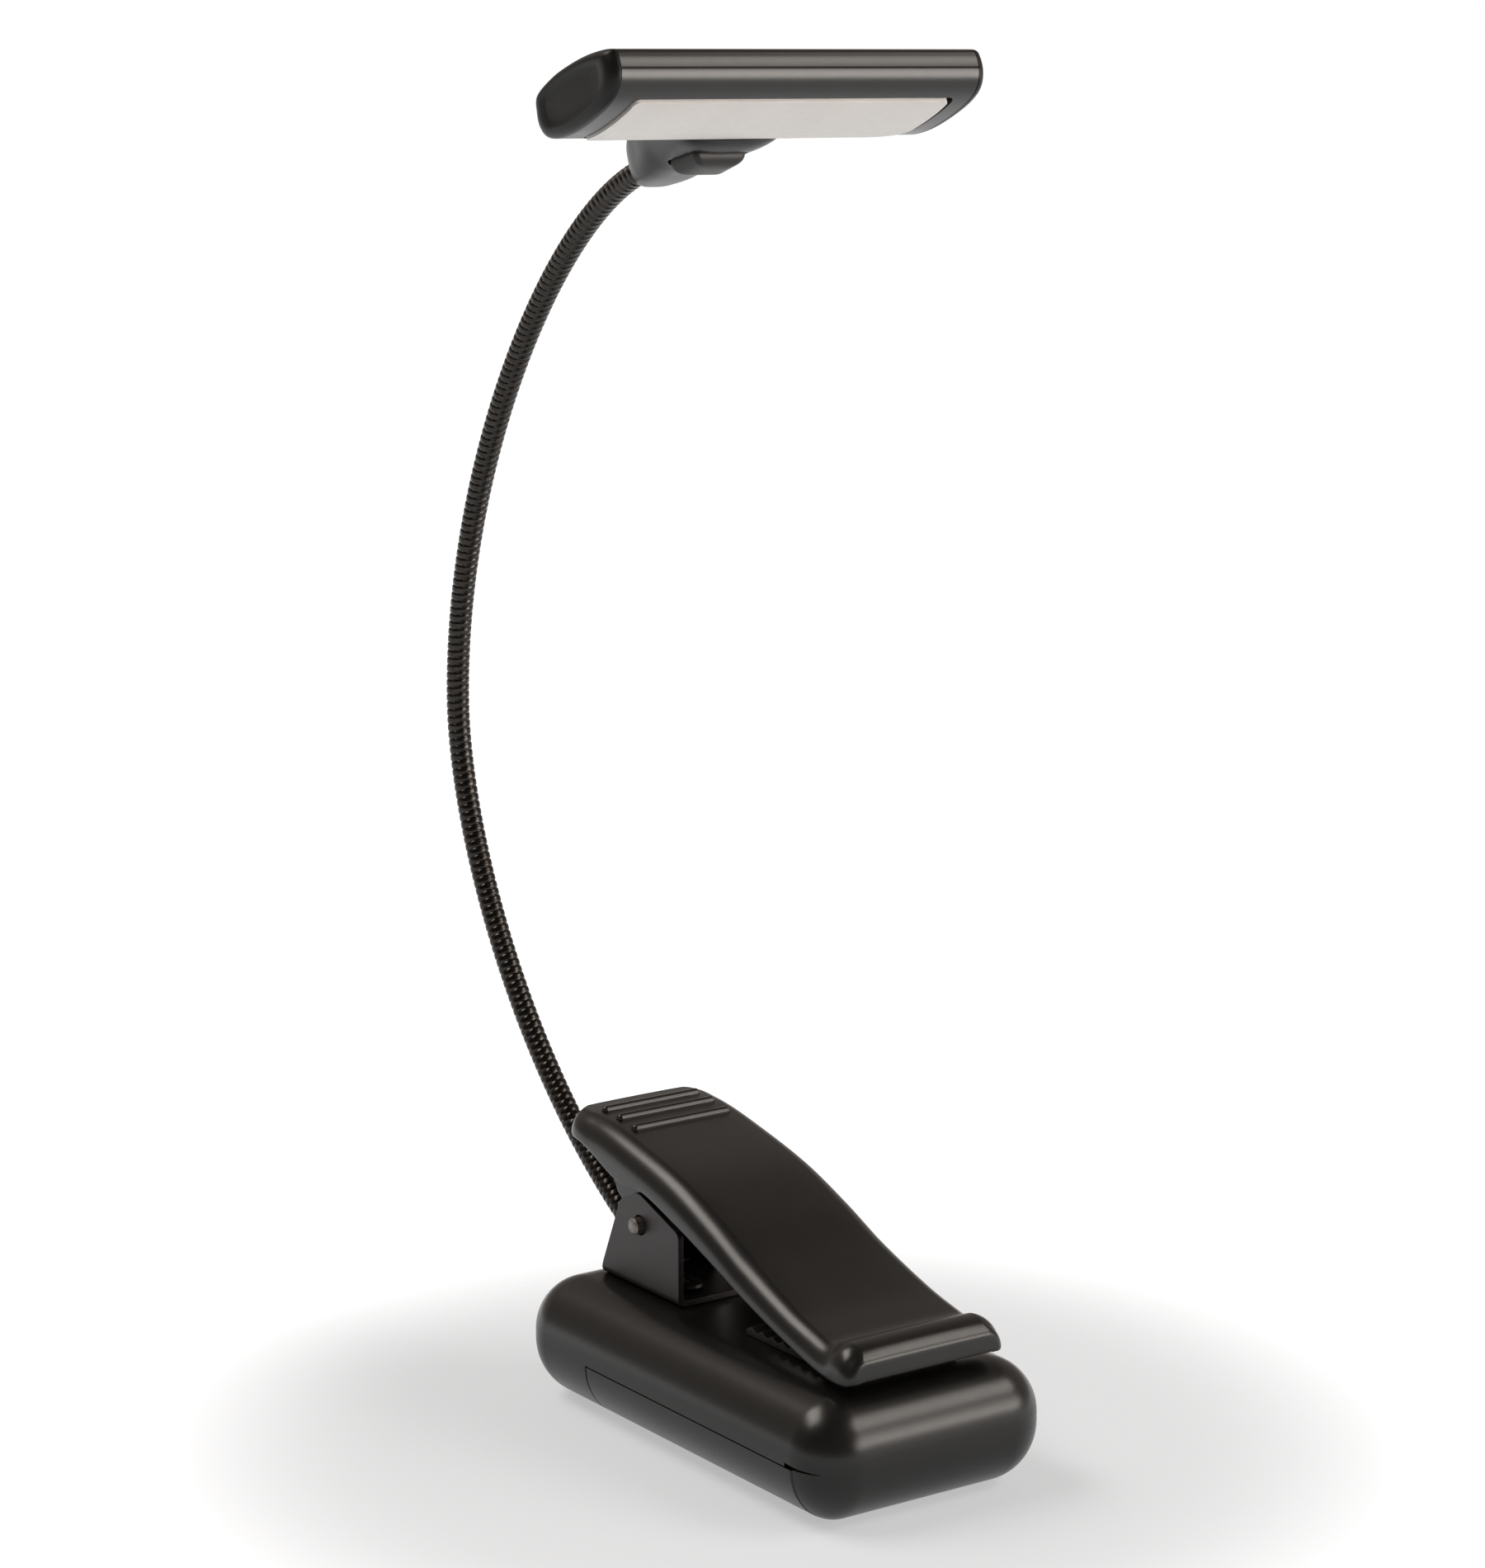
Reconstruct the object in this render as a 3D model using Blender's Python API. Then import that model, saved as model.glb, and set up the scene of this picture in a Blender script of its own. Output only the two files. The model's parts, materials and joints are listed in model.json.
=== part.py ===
"""Clip-on reading lamp: battery base with a spring clip, gooseneck and LED head.

Lengths below are millimetres and MM turns them into Blender metres.  The origin is the centre of the
base's flat underside.  +X runs along the base towards the open end of the clip, +Y is its width and +Z up.
"""
import math

import bmesh
import bpy
from mathutils import Matrix, Vector

MM = 0.001
GAP = 0.3                       # clearance between pieces that touch

# Base
BASE_L, BASE_W, BASE_H = 80.0, 43.1, 19.2
BASE_PLAN_R = 8.0               # corner radius seen from above
BASE_TOP_R, BASE_LOW_R = 8.4, 9.4
BASE_WALL = 1.8
PARTING_Z = 9.45                # plane between the upper and lower shells
DOOR_X0, DOOR_X1 = -20.3, 33.0  # ends of the battery door
DOOR_Y1 = 16.8                  # inner edge of the door's floor
FLOOR_T = 1.6
TRAY_SIDE_Z = 4.4               # the tray's near wall stops above the door's curved edge

# AAA cells
CELL_R, CELL_L, CELL_PITCH = 5.25, 44.5, 10.9
CELL_NUB_R, CELL_NUB_L = 1.9, 0.8
CELL_Z, CELL_Y = 7.3, 0.25
CELL_SPRING_L = 6.4
CONTACT_T = 0.4

# Clip
PIN_X, PIN_Z, PIN_R, PIN_HALF = -21.0, 29.7, 1.3, 12.7
BRACKET_HALF, SHEET_T = 11.2, 1.0
BRACKET_FLOOR_Z = BASE_H + GAP
LEVER_WALL = 1.7
LEVER_FILLET = 4.0
EAR_Y0, EAR_Y1, EAR_R = 8.3, 9.8, 3.6
RIB_X = (-34.4, -30.3, -26.2)
RIB_HALF, RIB_R = 9.0, 0.6
PAD_HALF = 9.5
SPRING_WIRE_R, SPRING_R, SPRING_TURNS = 0.45, 2.4, 5

# Neck: two Bezier spans in the plane y = 0, from the base through the rearmost point to the head
NECK_R, NECK_LINKS, LINK_GAP = 1.85, 9, 0.9
NECK_FOOT, FOOT_ANGLE, FOOT_HANDLE = (-38.5, 22.4), 150.3, 39.0
NECK_BACK, BACK_LOW_HANDLE, BACK_TOP_HANDLE = (-89.7, 98.4), 21.1, 36.3
NECK_TIP, TIP_ANGLE, TIP_HANDLE = (-38.4, 186.15), 24.3, 26.4
FOOT_SOCKET, TIP_SOCKET = 8.0, 9.0      # neck length held in each end's ferrule
FERRULE_R = 3.0

# Head, in its own axes: x forward and up along the bar's width, y along its length, z out of its top
HEAD_CENTRE, HEAD_TILT, HEAD_ROLL = (-4.6, 0.0, 200.7), 21.0, 2.15
HEAD_HALF, CAP_T = 32.7, 1.6
HEAD_WALL = 1.2
CREASE_Z = 0.25
WINDOW_X0, WINDOW_X1, WINDOW_HALF = -8.2, 7.2, 26.3
DIFFUSER_T = 1.2
LED_COUNT = 6
BUTTON_X0, BUTTON_X1, BUTTON_HALF = -19.4, -12.9, 4.4

# Outlines (x, z) of the clip lever and (x, z) of the head bar, joined by smooth curves
LEVER_TOP = ((-39, 44.1), (-31, 43.9), (-22, 42.3), (-10, 39.4), (0, 35.7), (10, 31.3), (20, 27.6),
             (26, 26.0), (29.5, 25.4), (32.5, 26.5), (35, 26.0), (36.6, 24.4))
LEVER_EDGE = ((-39, 40.0), (-34, 39.5), (-24, 36.0), (-18, 36.1), (-10, 33.9), (0, 30.4), (11, 26.3),
              (22, 22.9), (30, 21.1), (35, 20.9), (36.6, 21.4))
LEVER_HALF = ((-39, 11.0), (-38.2, 12.2), (-36, 12.9), (-30, 13.1), (-10, 13.4), (20, 13.9), (34, 14.3),
              (35.8, 13.9), (36.6, 13.2))
HEAD_SECTION = ((-10.5, 0.2), (-9.6, 2.7), (-5, 4.0), (0, 4.35), (5, 4.15), (9.5, 3.3), (10.5, 2.1),
                (10.55, -0.3), (9.3, -2.4), (6.5, -3.7), (1.5, -4.5), (-4, -4.7), (-8.6, -3.9),
                (-10.3, -2.1))
HOUSING = (                     # x, centre, half width, top, bottom of the neck housing's sections
    (-32.7, 0.5, 2.65, 2.0, -3.75), (-31.7, 0.45, 3.6, 3.3, -4.5), (-29.5, 0.35, 4.7, 4.3, -4.8),
    (-26.5, 0.25, 5.6, 4.2, -5.0), (-23.5, 0.1, 6.4, 4.2, -5.05), (-20, 0, 7.2, 4.1, -5.2),
    (-14, 0, 8.7, 3.9, -5.3), (-10.5, 0, 9.5, 3.6, -5.2), (-8.6, 0, 9.7, 3.4, -4.9))

COLOURS = {                     # name: colour, roughness, metallic
    "black_plastic": ((0.022, 0.019, 0.018), 0.38, 0.0),
    "button_plastic": ((0.026, 0.023, 0.021), 0.45, 0.0),
    "black_steel": ((0.02, 0.017, 0.016), 0.45, 0.5),
    "pin_steel": ((0.32, 0.31, 0.3), 0.35, 1.0),
    "neck_steel": ((0.05, 0.048, 0.046), 0.3, 0.9),
    "bright_steel": ((0.62, 0.62, 0.6), 0.3, 1.0),
    "rubber": ((0.03, 0.028, 0.027), 0.75, 0.0),
    "diffuser": ((0.78, 0.76, 0.73), 0.45, 0.0),
    "white_plastic": ((0.85, 0.85, 0.83), 0.5, 0.0),
    "circuit_board": ((0.03, 0.16, 0.07), 0.5, 0.0),
    "cell_wrap": ((0.08, 0.1, 0.14), 0.4, 0.2),
    "wire": ((0.3, 0.02, 0.02), 0.5, 0.0),
}


# ---------------------------------------------------------------- helpers

def clear_scene():
    for obj in list(bpy.data.objects):
        bpy.data.objects.remove(obj, do_unlink=True)


def material(name):
    found = bpy.data.materials.get(name)
    if found:
        return found
    colour, roughness, metallic = COLOURS[name]
    made = bpy.data.materials.new(name)
    made.use_nodes = True
    shader = made.node_tree.nodes["Principled BSDF"]
    shader.inputs["Base Color"].default_value = (*colour, 1.0)
    shader.inputs["Roughness"].default_value = roughness
    shader.inputs["Metallic"].default_value = metallic
    made.diffuse_color = (*colour, 1.0)
    return made


def make(name, verts, faces, finish, parent=None):
    """A closed mesh object from points in millimetres, faces turned outwards."""
    mesh = bpy.data.meshes.new(name)
    mesh.from_pydata([Vector(v) * MM for v in verts], [], faces)
    bm = bmesh.new()
    bm.from_mesh(mesh)
    bmesh.ops.recalc_face_normals(bm, faces=bm.faces)
    bm.to_mesh(mesh)
    bm.free()
    mesh.materials.append(material(finish))
    obj = bpy.data.objects.new(name, mesh)
    bpy.context.scene.collection.objects.link(obj)
    obj.parent = parent
    return obj


def smooth(obj, degrees=35.0):
    obj.data.shade_smooth()
    obj.data.set_sharp_from_angle(angle=math.radians(degrees))
    return obj


def loft(name, rings, finish, parent=None):
    """Skin equal-sized closed rings and cap both ends."""
    count = len(rings[0])
    verts = [p for ring in rings for p in ring]
    faces = [tuple(range(count)), tuple(range(len(verts) - count, len(verts)))]
    for row in range(len(rings) - 1):
        a, b = row * count, (row + 1) * count
        faces += [(a + i, a + (i + 1) % count, b + (i + 1) % count, b + i) for i in range(count)]
    return make(name, verts, faces, finish, parent)


def prism_y(name, outline, y0, y1, finish, parent=None):
    """Extrude an (x, z) outline along Y."""
    return loft(name, [[(x, y, z) for x, z in outline] for y in (y0, y1)], finish, parent)


def box(name, low, high, finish, parent=None):
    outline = [(low[0], low[2]), (high[0], low[2]), (high[0], high[2]), (low[0], high[2])]
    return prism_y(name, outline, low[1], high[1], finish, parent)


def frame_along(direction):
    """Two unit vectors square to a direction."""
    side = Vector((0, 1, 0)) if abs(direction.y) < 0.9 else Vector((1, 0, 0))
    first = side.cross(direction).normalized()
    return first, direction.cross(first).normalized()


def turned(name, start, end, profile, finish, sides=24, parent=None):
    """A round piece along an axis: profile holds (distance from start, radius)."""
    start, end = Vector(start), Vector(end)
    axis = (end - start).normalized()
    u, v = frame_along(axis)
    turns = [2 * math.pi * i / sides for i in range(sides)]
    rings = [[start + axis * d + (u * math.cos(t) + v * math.sin(t)) * r for t in turns]
             for d, r in profile]
    return smooth(loft(name, rings, finish, parent))


def rod(name, start, end, radius, finish, sides=24, chamfer=0.0, parent=None):
    length = (Vector(end) - Vector(start)).length
    profile = [(0, radius), (length, radius)]
    if chamfer:
        profile = [(0, radius - chamfer), (chamfer, radius), (length - chamfer, radius),
                   (length, radius - chamfer)]
    return turned(name, start, end, profile, finish, sides, parent)


def tube(name, points, radius, finish, sides=10, parent=None):
    """A solid round bar along a list of points."""
    points = [Vector(p) for p in points]
    ways = [(points[min(i + 1, len(points) - 1)] - points[max(i - 1, 0)]).normalized()
            for i in range(len(points))]
    u, _ = frame_along(ways[0])
    rings = []
    for point, way in zip(points, ways):
        u = (u - way * u.dot(way)).normalized()
        v = way.cross(u)
        turns = [2 * math.pi * i / sides for i in range(sides)]
        rings.append([point + (u * math.cos(t) + v * math.sin(t)) * radius for t in turns])
    return smooth(loft(name, rings, finish, parent), 50)


def combine(obj, other, operation):
    """Apply an exact Boolean and drop the second solid."""
    step = obj.modifiers.new("combine", "BOOLEAN")
    step.operation = operation
    step.solver = "EXACT"
    step.object = other
    bpy.context.view_layer.update()
    evaluated = obj.evaluated_get(bpy.context.evaluated_depsgraph_get())
    mesh = bpy.data.meshes.new_from_object(evaluated)
    obj.modifiers.remove(step)
    old = obj.data
    obj.data = mesh
    mesh.name = obj.name
    bpy.data.meshes.remove(old)
    bpy.data.objects.remove(other, do_unlink=True)
    return obj


def cut(obj, other):
    return combine(obj, other, "DIFFERENCE")


def join(obj, other):
    return combine(obj, other, "UNION")


def curve_at(points, x):
    """Smooth curve through (x, value) points, with flat overshoot held back by local slopes."""
    if x <= points[0][0]:
        return points[0][1]
    for i in range(len(points) - 1):
        if x <= points[i + 1][0]:
            break
    else:
        return points[-1][1]
    (x0, y0), (x1, y1) = points[i], points[i + 1]
    before = points[max(i - 1, 0)]
    after = points[min(i + 2, len(points) - 1)]
    slope0 = (y1 - before[1]) / (x1 - before[0])
    slope1 = (after[1] - y0) / (after[0] - x0)
    width = x1 - x0
    t = (x - x0) / width
    return ((2 * t**3 - 3 * t**2 + 1) * y0 + (t**3 - 2 * t**2 + t) * width * slope0
            + (3 * t**2 - 2 * t**3) * y1 + (t**3 - t**2) * width * slope1)


def closed_curve(points, steps):
    """Closed Catmull-Rom loop through points, with steps samples between neighbours."""
    count = len(points)
    loop = []
    for i in range(count):
        p0, p1, p2, p3 = (Vector(points[(i + k) % count]) for k in (-1, 0, 1, 2))
        for s in range(steps):
            t = s / steps
            loop.append(0.5 * (2 * p1 + (p2 - p0) * t + (2 * p0 - 5 * p1 + 4 * p2 - p3) * t**2
                               + (3 * p1 - p0 - 3 * p2 + p3) * t**3))
    return loop


def inset_loop(loop, distance):
    """Move every point of an (x, z) loop inwards along its local normal."""
    count = len(loop)
    area = sum(loop[i].x * loop[(i + 1) % count].y - loop[(i + 1) % count].x * loop[i].y
               for i in range(count))
    inward = 1.0 if area > 0 else -1.0
    moved = []
    for i in range(count):
        along = (loop[(i + 1) % count] - loop[i - 1]).normalized()
        moved.append(loop[i] + Vector((-along.y, along.x)) * inward * distance)
    return moved


# ---------------------------------------------------------------- base

def base_ring(z, wall=0.0, corner_steps=4):
    """Outline of the soap-bar base at height z, moved inwards by a wall."""
    low_r, top_r = BASE_LOW_R - wall, BASE_TOP_R - wall
    if z < wall + low_r:
        rise = wall + low_r - z
        inset = low_r - math.sqrt(max(low_r**2 - rise**2, 0.0))
    elif z > BASE_H - wall - top_r:
        rise = z - (BASE_H - wall - top_r)
        inset = top_r - math.sqrt(max(top_r**2 - rise**2, 0.0))
    else:
        inset = 0.0
    inset += wall
    radius = max(BASE_PLAN_R - inset, 0.5)
    half_x, half_y = BASE_L / 2 - inset - radius, BASE_W / 2 - inset - radius
    ring = []
    for quarter, (sx, sy) in enumerate(((1, 1), (-1, 1), (-1, -1), (1, -1))):
        for step in range(corner_steps + 1):
            turn = math.pi / 2 * (quarter + step / corner_steps)
            ring.append((sx * half_x + radius * math.cos(turn), sy * half_y + radius * math.sin(turn), z))
    return ring


def arc_heights(centre, radius, sign, steps=5):
    """Heights at equal angles round a quarter circle that starts level with its centre."""
    return [centre + sign * radius * math.sin(math.pi / 2 * s / steps) for s in range(steps + 1)]


def inside_heights(wall):
    """Heights for the whole base shape moved inwards by a wall."""
    low = arc_heights(BASE_LOW_R, BASE_LOW_R - wall, -1)[::-1]
    return low + arc_heights(BASE_H - BASE_TOP_R, BASE_TOP_R - wall, 1)


def base_upper_shell():
    top = BASE_H - BASE_TOP_R
    heights = [PARTING_Z + GAP / 2] + arc_heights(top, BASE_TOP_R, 1)
    shell = loft("base_upper_shell", [base_ring(z) for z in heights], "black_plastic")
    heights = [PARTING_Z - 1] + arc_heights(top, BASE_TOP_R - BASE_WALL, 1, 4)
    cut(shell, loft("cavity", [base_ring(z, BASE_WALL) for z in heights], "black_plastic"))
    foot, way = neck_foot()
    cut(shell, rod("hole", foot + way * 6, foot - way * 14, FERRULE_R + GAP, "black_plastic", 16))
    for x, y in SCREWS:
        cut(shell, rod("hole", (x, y, BASE_H - 4), (x, y, BASE_H + 1), 1.0, "black_plastic", 10))
    return smooth(shell)


def tray():
    """Battery tray: a box open downwards, standing on the lower shell's floor."""
    low, high = (DOOR_X0 - 1.5, -17.6, FLOOR_T - 0.5), (DOOR_X1 + 1.5, 18.1, 13.9)
    solid = box("tray", low, high, "black_plastic")
    inner_low = (DOOR_X0 - 0.3, -16.5, -1)
    inner_high = (DOOR_X1 + 0.3, DOOR_Y1 + 0.2, 13.0)
    cut(solid, box("inner", inner_low, inner_high, "black_plastic"))
    combine(solid, loft("inside", [base_ring(z, 0.9) for z in inside_heights(0.9)], "black_plastic"), "INTERSECT")
    relief_low, relief_high = (DOOR_X0 - GAP, -30, -1), (DOOR_X1 + GAP, -10, TRAY_SIDE_Z)
    return cut(solid, box("relief", relief_low, relief_high, "black_plastic"))


def base_lower_shell():
    heights = arc_heights(BASE_LOW_R, BASE_LOW_R, -1)[::-1]
    heights[-1] = PARTING_Z - GAP / 2
    shell = loft("base_lower_shell", [base_ring(z) for z in heights], "black_plastic")
    inner = arc_heights(BASE_LOW_R, BASE_LOW_R - BASE_WALL, -1, 4)[::-1]
    inner[-1] = PARTING_Z + 1
    cut(shell, loft("cavity", [base_ring(z, BASE_WALL) for z in inner], "black_plastic"))
    cut(shell, box("door", (DOOR_X0 - GAP, -30, -1), (DOOR_X1 + GAP, DOOR_Y1 + GAP, 12), "black_plastic"))
    join(shell, tray())
    return smooth(shell)


def battery_door():
    """Underside and near wall of the base between the seams; it slides out sideways."""
    heights = arc_heights(BASE_LOW_R, BASE_LOW_R, -1)[::-1]
    heights[-1] = PARTING_Z - GAP / 2
    door = loft("battery_door", [base_ring(z) for z in heights], "black_plastic")
    inner = arc_heights(BASE_LOW_R, BASE_LOW_R - FLOOR_T, -1, 4)[::-1]
    inner[-1] = PARTING_Z + 1
    cut(door, loft("cavity", [base_ring(z, FLOOR_T) for z in inner], "black_plastic"))
    combine(door, box("span", (DOOR_X0, -30, -1), (DOOR_X1, DOOR_Y1, 12), "black_plastic"), "INTERSECT")
    cut(door, box("lip", (DOOR_X0 - 1, 0, FLOOR_T + 0.15), (DOOR_X1 + 1, 30, 12), "black_plastic"))
    return smooth(door)


def cell_y(index):
    return CELL_Y + (index - 1) * CELL_PITCH


def batteries():
    """Three cells side by side, the middle one reversed, with a spring at each flat end."""
    back, front = DOOR_X0 + 0.5, DOOR_X1 - 0.5
    for index in range(3):
        y = cell_y(index)
        sign = -1 if index == 1 else 1
        plate = front if sign < 0 else back
        flat = plate + sign * (CONTACT_T + CELL_SPRING_L + 0.6)
        profile = [(0, CELL_R - 0.4), (0.4, CELL_R), (CELL_L - CELL_NUB_L - 0.4, CELL_R),
                   (CELL_L - CELL_NUB_L, CELL_R - 0.4), (CELL_L - CELL_NUB_L, CELL_NUB_R),
                   (CELL_L, CELL_NUB_R)]
        turned(f"battery_{index + 1}", (flat, y, CELL_Z), (flat + sign * CELL_L, y, CELL_Z), profile,
               "cell_wrap", 16)
        coil = []
        turns, steps = 3, 8
        for s in range(turns * steps + 1):
            turn = 2 * math.pi * s / steps
            reach = plate + sign * (CONTACT_T + 0.55 + (CELL_SPRING_L - 0.6) * s / (turns * steps))
            radius = 3.4 - 1.2 * s / (turns * steps)
            coil.append((reach, y + radius * math.cos(turn), CELL_Z + radius * math.sin(turn)))
        tube(f"battery_spring_{index + 1}", coil, 0.25, "bright_steel", 5)


def contacts():
    """Contact plates: the pairs bridge neighbouring cells, the singles take the leads."""
    back, front = DOOR_X0 + 0.5, DOOR_X1 - 0.5
    spans = {"contact_rear_pair": (back, 0, 1), "contact_rear_single": (back, 2, 2),
             "contact_front_single": (front - CONTACT_T, 0, 0), "contact_front_pair": (front - CONTACT_T, 1, 2)}
    half = CELL_PITCH / 2 - 0.5
    for name, (x, first, last) in spans.items():
        low = (x, cell_y(first) - half, CELL_Z - 4.4)
        high = (x + CONTACT_T, cell_y(last) + half, CELL_Z + 4.4)
        box(name, low, high, "bright_steel")


# ---------------------------------------------------------------- clip

SCREWS = ((-15.5, 6.0), (-15.5, -6.0))


def arc(cx, cz, radius, start, end, steps):
    """Points (x, z) round an arc, angles in degrees."""
    turns = [math.radians(start + (end - start) * s / steps) for s in range(steps + 1)]
    return [(cx + radius * math.cos(t), cz + radius * math.sin(t)) for t in turns]


def pivot_bracket():
    """Folded steel channel: two plates joined by a floor."""
    outer, floor, bend = BRACKET_HALF, BRACKET_FLOOR_Z, 1.4
    inner_bend = bend - SHEET_T
    top = 36.0
    loop = arc(-outer + bend, floor + bend, bend, 180, 270, 4)
    loop += arc(outer - bend, floor + bend, bend, 270, 360, 4)
    loop += [(outer, top), (outer - SHEET_T, top)]
    loop += arc(outer - bend, floor + bend, inner_bend, 360, 270, 3)
    loop += arc(-outer + bend, floor + bend, inner_bend, 270, 180, 3)
    loop += [(-outer + SHEET_T, top), (-outer, top)]
    channel = loft("pivot_bracket", [[(x, y, z) for y, z in loop] for x in (-36.0, -8.0)], "black_steel")
    side = [(-10.6, floor - 1), (-10.6, 30.0)]
    side += arc(-12.0, 29.9, 1.4, 20, 68, 2)
    side += arc(-21.4, 31.6, 3.0, 70, 135, 3)
    side += arc(-24.4, 30.6, 2.6, 120, 155, 2)
    side += [(-31.2, 21.4), (-32.2, floor - 1)]
    combine(channel, prism_y("side", side, -13, 13, "black_steel"), "INTERSECT")
    cut(channel, rod("hole", (PIN_X, -14, PIN_Z), (PIN_X, 14, PIN_Z), PIN_R + GAP, "black_steel", 16))
    cut(channel, box("slot", (-35, -3.9, floor - 1), (-26.2, 3.9, floor + 3), "black_steel"))
    for x, y in SCREWS:
        cut(channel, rod("hole", (x, y, floor - 1), (x, y, floor + 3), 1.5, "black_steel", 12))
    return smooth(channel, 30)


def bracket_screws():
    top = BRACKET_FLOOR_Z + SHEET_T + GAP
    for index, (x, y) in enumerate(SCREWS):
        drop = top - (BASE_H - 2.2)
        profile = [(0, 0.7), (drop, 0.7), (drop, 2.2), (drop + 0.5, 2.1), (drop + 1.0, 1.3)]
        turned(f"bracket_screw_{index + 1}", (x, y, top - drop), (x, y, top + 1), profile, "bright_steel", 12)


def lever_ring(x, inset=0.0, drop=0.0):
    """Section of the lever at x: flat edge below, filleted top corners."""
    half = curve_at(LEVER_HALF, x) - inset
    top = curve_at(LEVER_TOP, x) - inset
    low = curve_at(LEVER_EDGE, x) - drop
    fillet = max(min(LEVER_FILLET - inset, top - low - 0.3, half - 1), 0.4)
    ring = [(-half, low)]
    ring += arc(-half + fillet, top - fillet, fillet, 180, 90, 4)
    ring += arc(half - fillet, top - fillet, fillet, 90, 0, 4)
    ring += [(half, low)]
    return [(x, y, z) for y, z in ring]


def clip_lever():
    """Upper jaw and thumb lever in one moulding, hollow underneath, with two ears for the pin."""
    stations = [-39, -38.2, -36.5, -33, -28, -23, -18, -12, -6, 0, 6, 12, 18, 23, 27, 29.5, 31, 32.5,
                34, 35.2, 36.1, 36.6]
    rings = [lever_ring(x) for x in stations]
    rings[0] = [(x, y * 0.96, 42.0 + (z - 42.0) * 0.55) for x, y, z in rings[0]]
    rings[-1] = [(x, y, 22.9 + (z - 22.9) * 0.6) for x, y, z in rings[-1]]
    lever = loft("clip_lever", rings, "black_plastic")
    hollow = [-37.2, -35, -28, -18, -12, -6, 0, 6, 12, 18, 23, 27, 30.2]
    cut(lever, loft("hollow", [lever_ring(x, LEVER_WALL, 4.0) for x in hollow], "black_plastic"))
    ear = [(-31.5, 42.7), (-28.5, 37.0)]
    ear += arc(PIN_X, PIN_Z, EAR_R, 175, 375, 10)
    ear += [(-13.5, 37.5), (-12.5, 38.7), (-22.0, 41.3)]
    for y0, y1 in ((-EAR_Y1, -EAR_Y0), (EAR_Y0, EAR_Y1)):
        join(lever, prism_y("ear", ear, y0, y1, "black_plastic"))
    cut(lever, rod("hole", (PIN_X, -11, PIN_Z), (PIN_X, 11, PIN_Z), PIN_R + GAP, "black_plastic", 16))
    for x in RIB_X:
        z = curve_at(LEVER_TOP, x) + 0.1
        join(lever, rod("rib", (x, -RIB_HALF, z), (x, RIB_HALF, z), RIB_R, "black_plastic", 8, 0.3))
    move_origin(lever, (PIN_X, 0, PIN_Z))
    return smooth(lever)


def move_origin(obj, point):
    """Put a moving piece's origin on its joint axis without moving its surface."""
    shift = Vector(point) * MM
    obj.data.transform(Matrix.Translation(-shift))
    obj.location = shift


def teeth(x0, x1, base, tip, count):
    """Saw-edged strip outline between x0 and x1: grip teeth on one side."""
    step = (x1 - x0) / count
    edge = []
    for index in range(count):
        edge += [(x0 + index * step, base), (x0 + (index + 0.5) * step, tip)]
    return edge + [(x1, base)]


def jaw_pads():
    """Ribbed rubber pads facing each other in the mouth of the clip."""
    low = BASE_H + GAP
    outline = [(4.5, low)] + teeth(4.5, 31.0, low + 0.75, low + 1.25, 10) + [(31.0, low)]
    prism_y("lower_jaw_pad", outline, -PAD_HALF, PAD_HALF, "rubber")
    tip = low + 1.25 + GAP
    roof = [(x, curve_at(LEVER_TOP, x) - LEVER_WALL - GAP) for x in (29.8, 27, 24, 21)]
    outline = [(29.8, tip + 0.5)] + roof + teeth(21, 29.8, tip + 0.5, tip, 4)[:-1]
    pad = prism_y("upper_jaw_pad", outline, -PAD_HALF, PAD_HALF, "rubber")
    move_origin(pad, (PIN_X, 0, PIN_Z))


def pivot_pin():
    rod("pivot_pin", (PIN_X, -PIN_HALF, PIN_Z), (PIN_X, PIN_HALF, PIN_Z), PIN_R, "pin_steel", 20, 0.4)


def clip_spring():
    """Torsion spring on the pin; both legs point to the rear and push the lever up off the floor."""
    half, steps = 4.2, 12
    start, end = math.radians(138), math.radians(205)
    sweep = 2 * math.pi * SPRING_TURNS + end - start
    count = SPRING_TURNS * steps
    coil = []
    for s in range(count + 1):
        turn = start + sweep * s / count
        coil.append((PIN_X + SPRING_R * math.cos(turn), -half + 2 * half * s / count,
                     PIN_Z + SPRING_R * math.sin(turn)))
    first = (coil[0][0] - 9.8, -half - 0.2, coil[0][2] + 9.8)
    last = (coil[-1][0] - 0.6, half + 0.2, BRACKET_FLOOR_Z + SHEET_T + SPRING_WIRE_R + GAP)
    tube("clip_spring", [first] + coil + [last], SPRING_WIRE_R, "bright_steel", 6)


# ---------------------------------------------------------------- neck

def polar(degrees):
    return Vector((math.cos(math.radians(degrees)), 0, math.sin(math.radians(degrees))))


def neck_foot():
    return Vector((NECK_FOOT[0], 0, NECK_FOOT[1])), polar(FOOT_ANGLE)


def neck_tip():
    return Vector((NECK_TIP[0], 0, NECK_TIP[1])), polar(TIP_ANGLE)


def bezier(a, b, c, d, t):
    return a * (1 - t)**3 + b * 3 * (1 - t)**2 * t + c * 3 * (1 - t) * t**2 + d * t**3


def neck_line():
    """Fine centre line of the free neck, from foot to tip."""
    foot, foot_way = neck_foot()
    tip, tip_way = neck_tip()
    back, up = Vector((NECK_BACK[0], 0, NECK_BACK[1])), Vector((0, 0, 1))
    spans = ((foot, foot + foot_way * FOOT_HANDLE, back - up * BACK_LOW_HANDLE, back),
             (back, back + up * BACK_TOP_HANDLE, tip - tip_way * TIP_HANDLE, tip))
    line = [bezier(*span, t / 100) for span in spans for t in range(100)]
    return line + [tip]


def point_at(line, distance):
    """Point a given distance along a line of points."""
    for a, b in zip(line, line[1:]):
        step = (b - a).length
        if distance <= step:
            return a.lerp(b, distance / step)
        distance -= step
    return line[-1]


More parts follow.
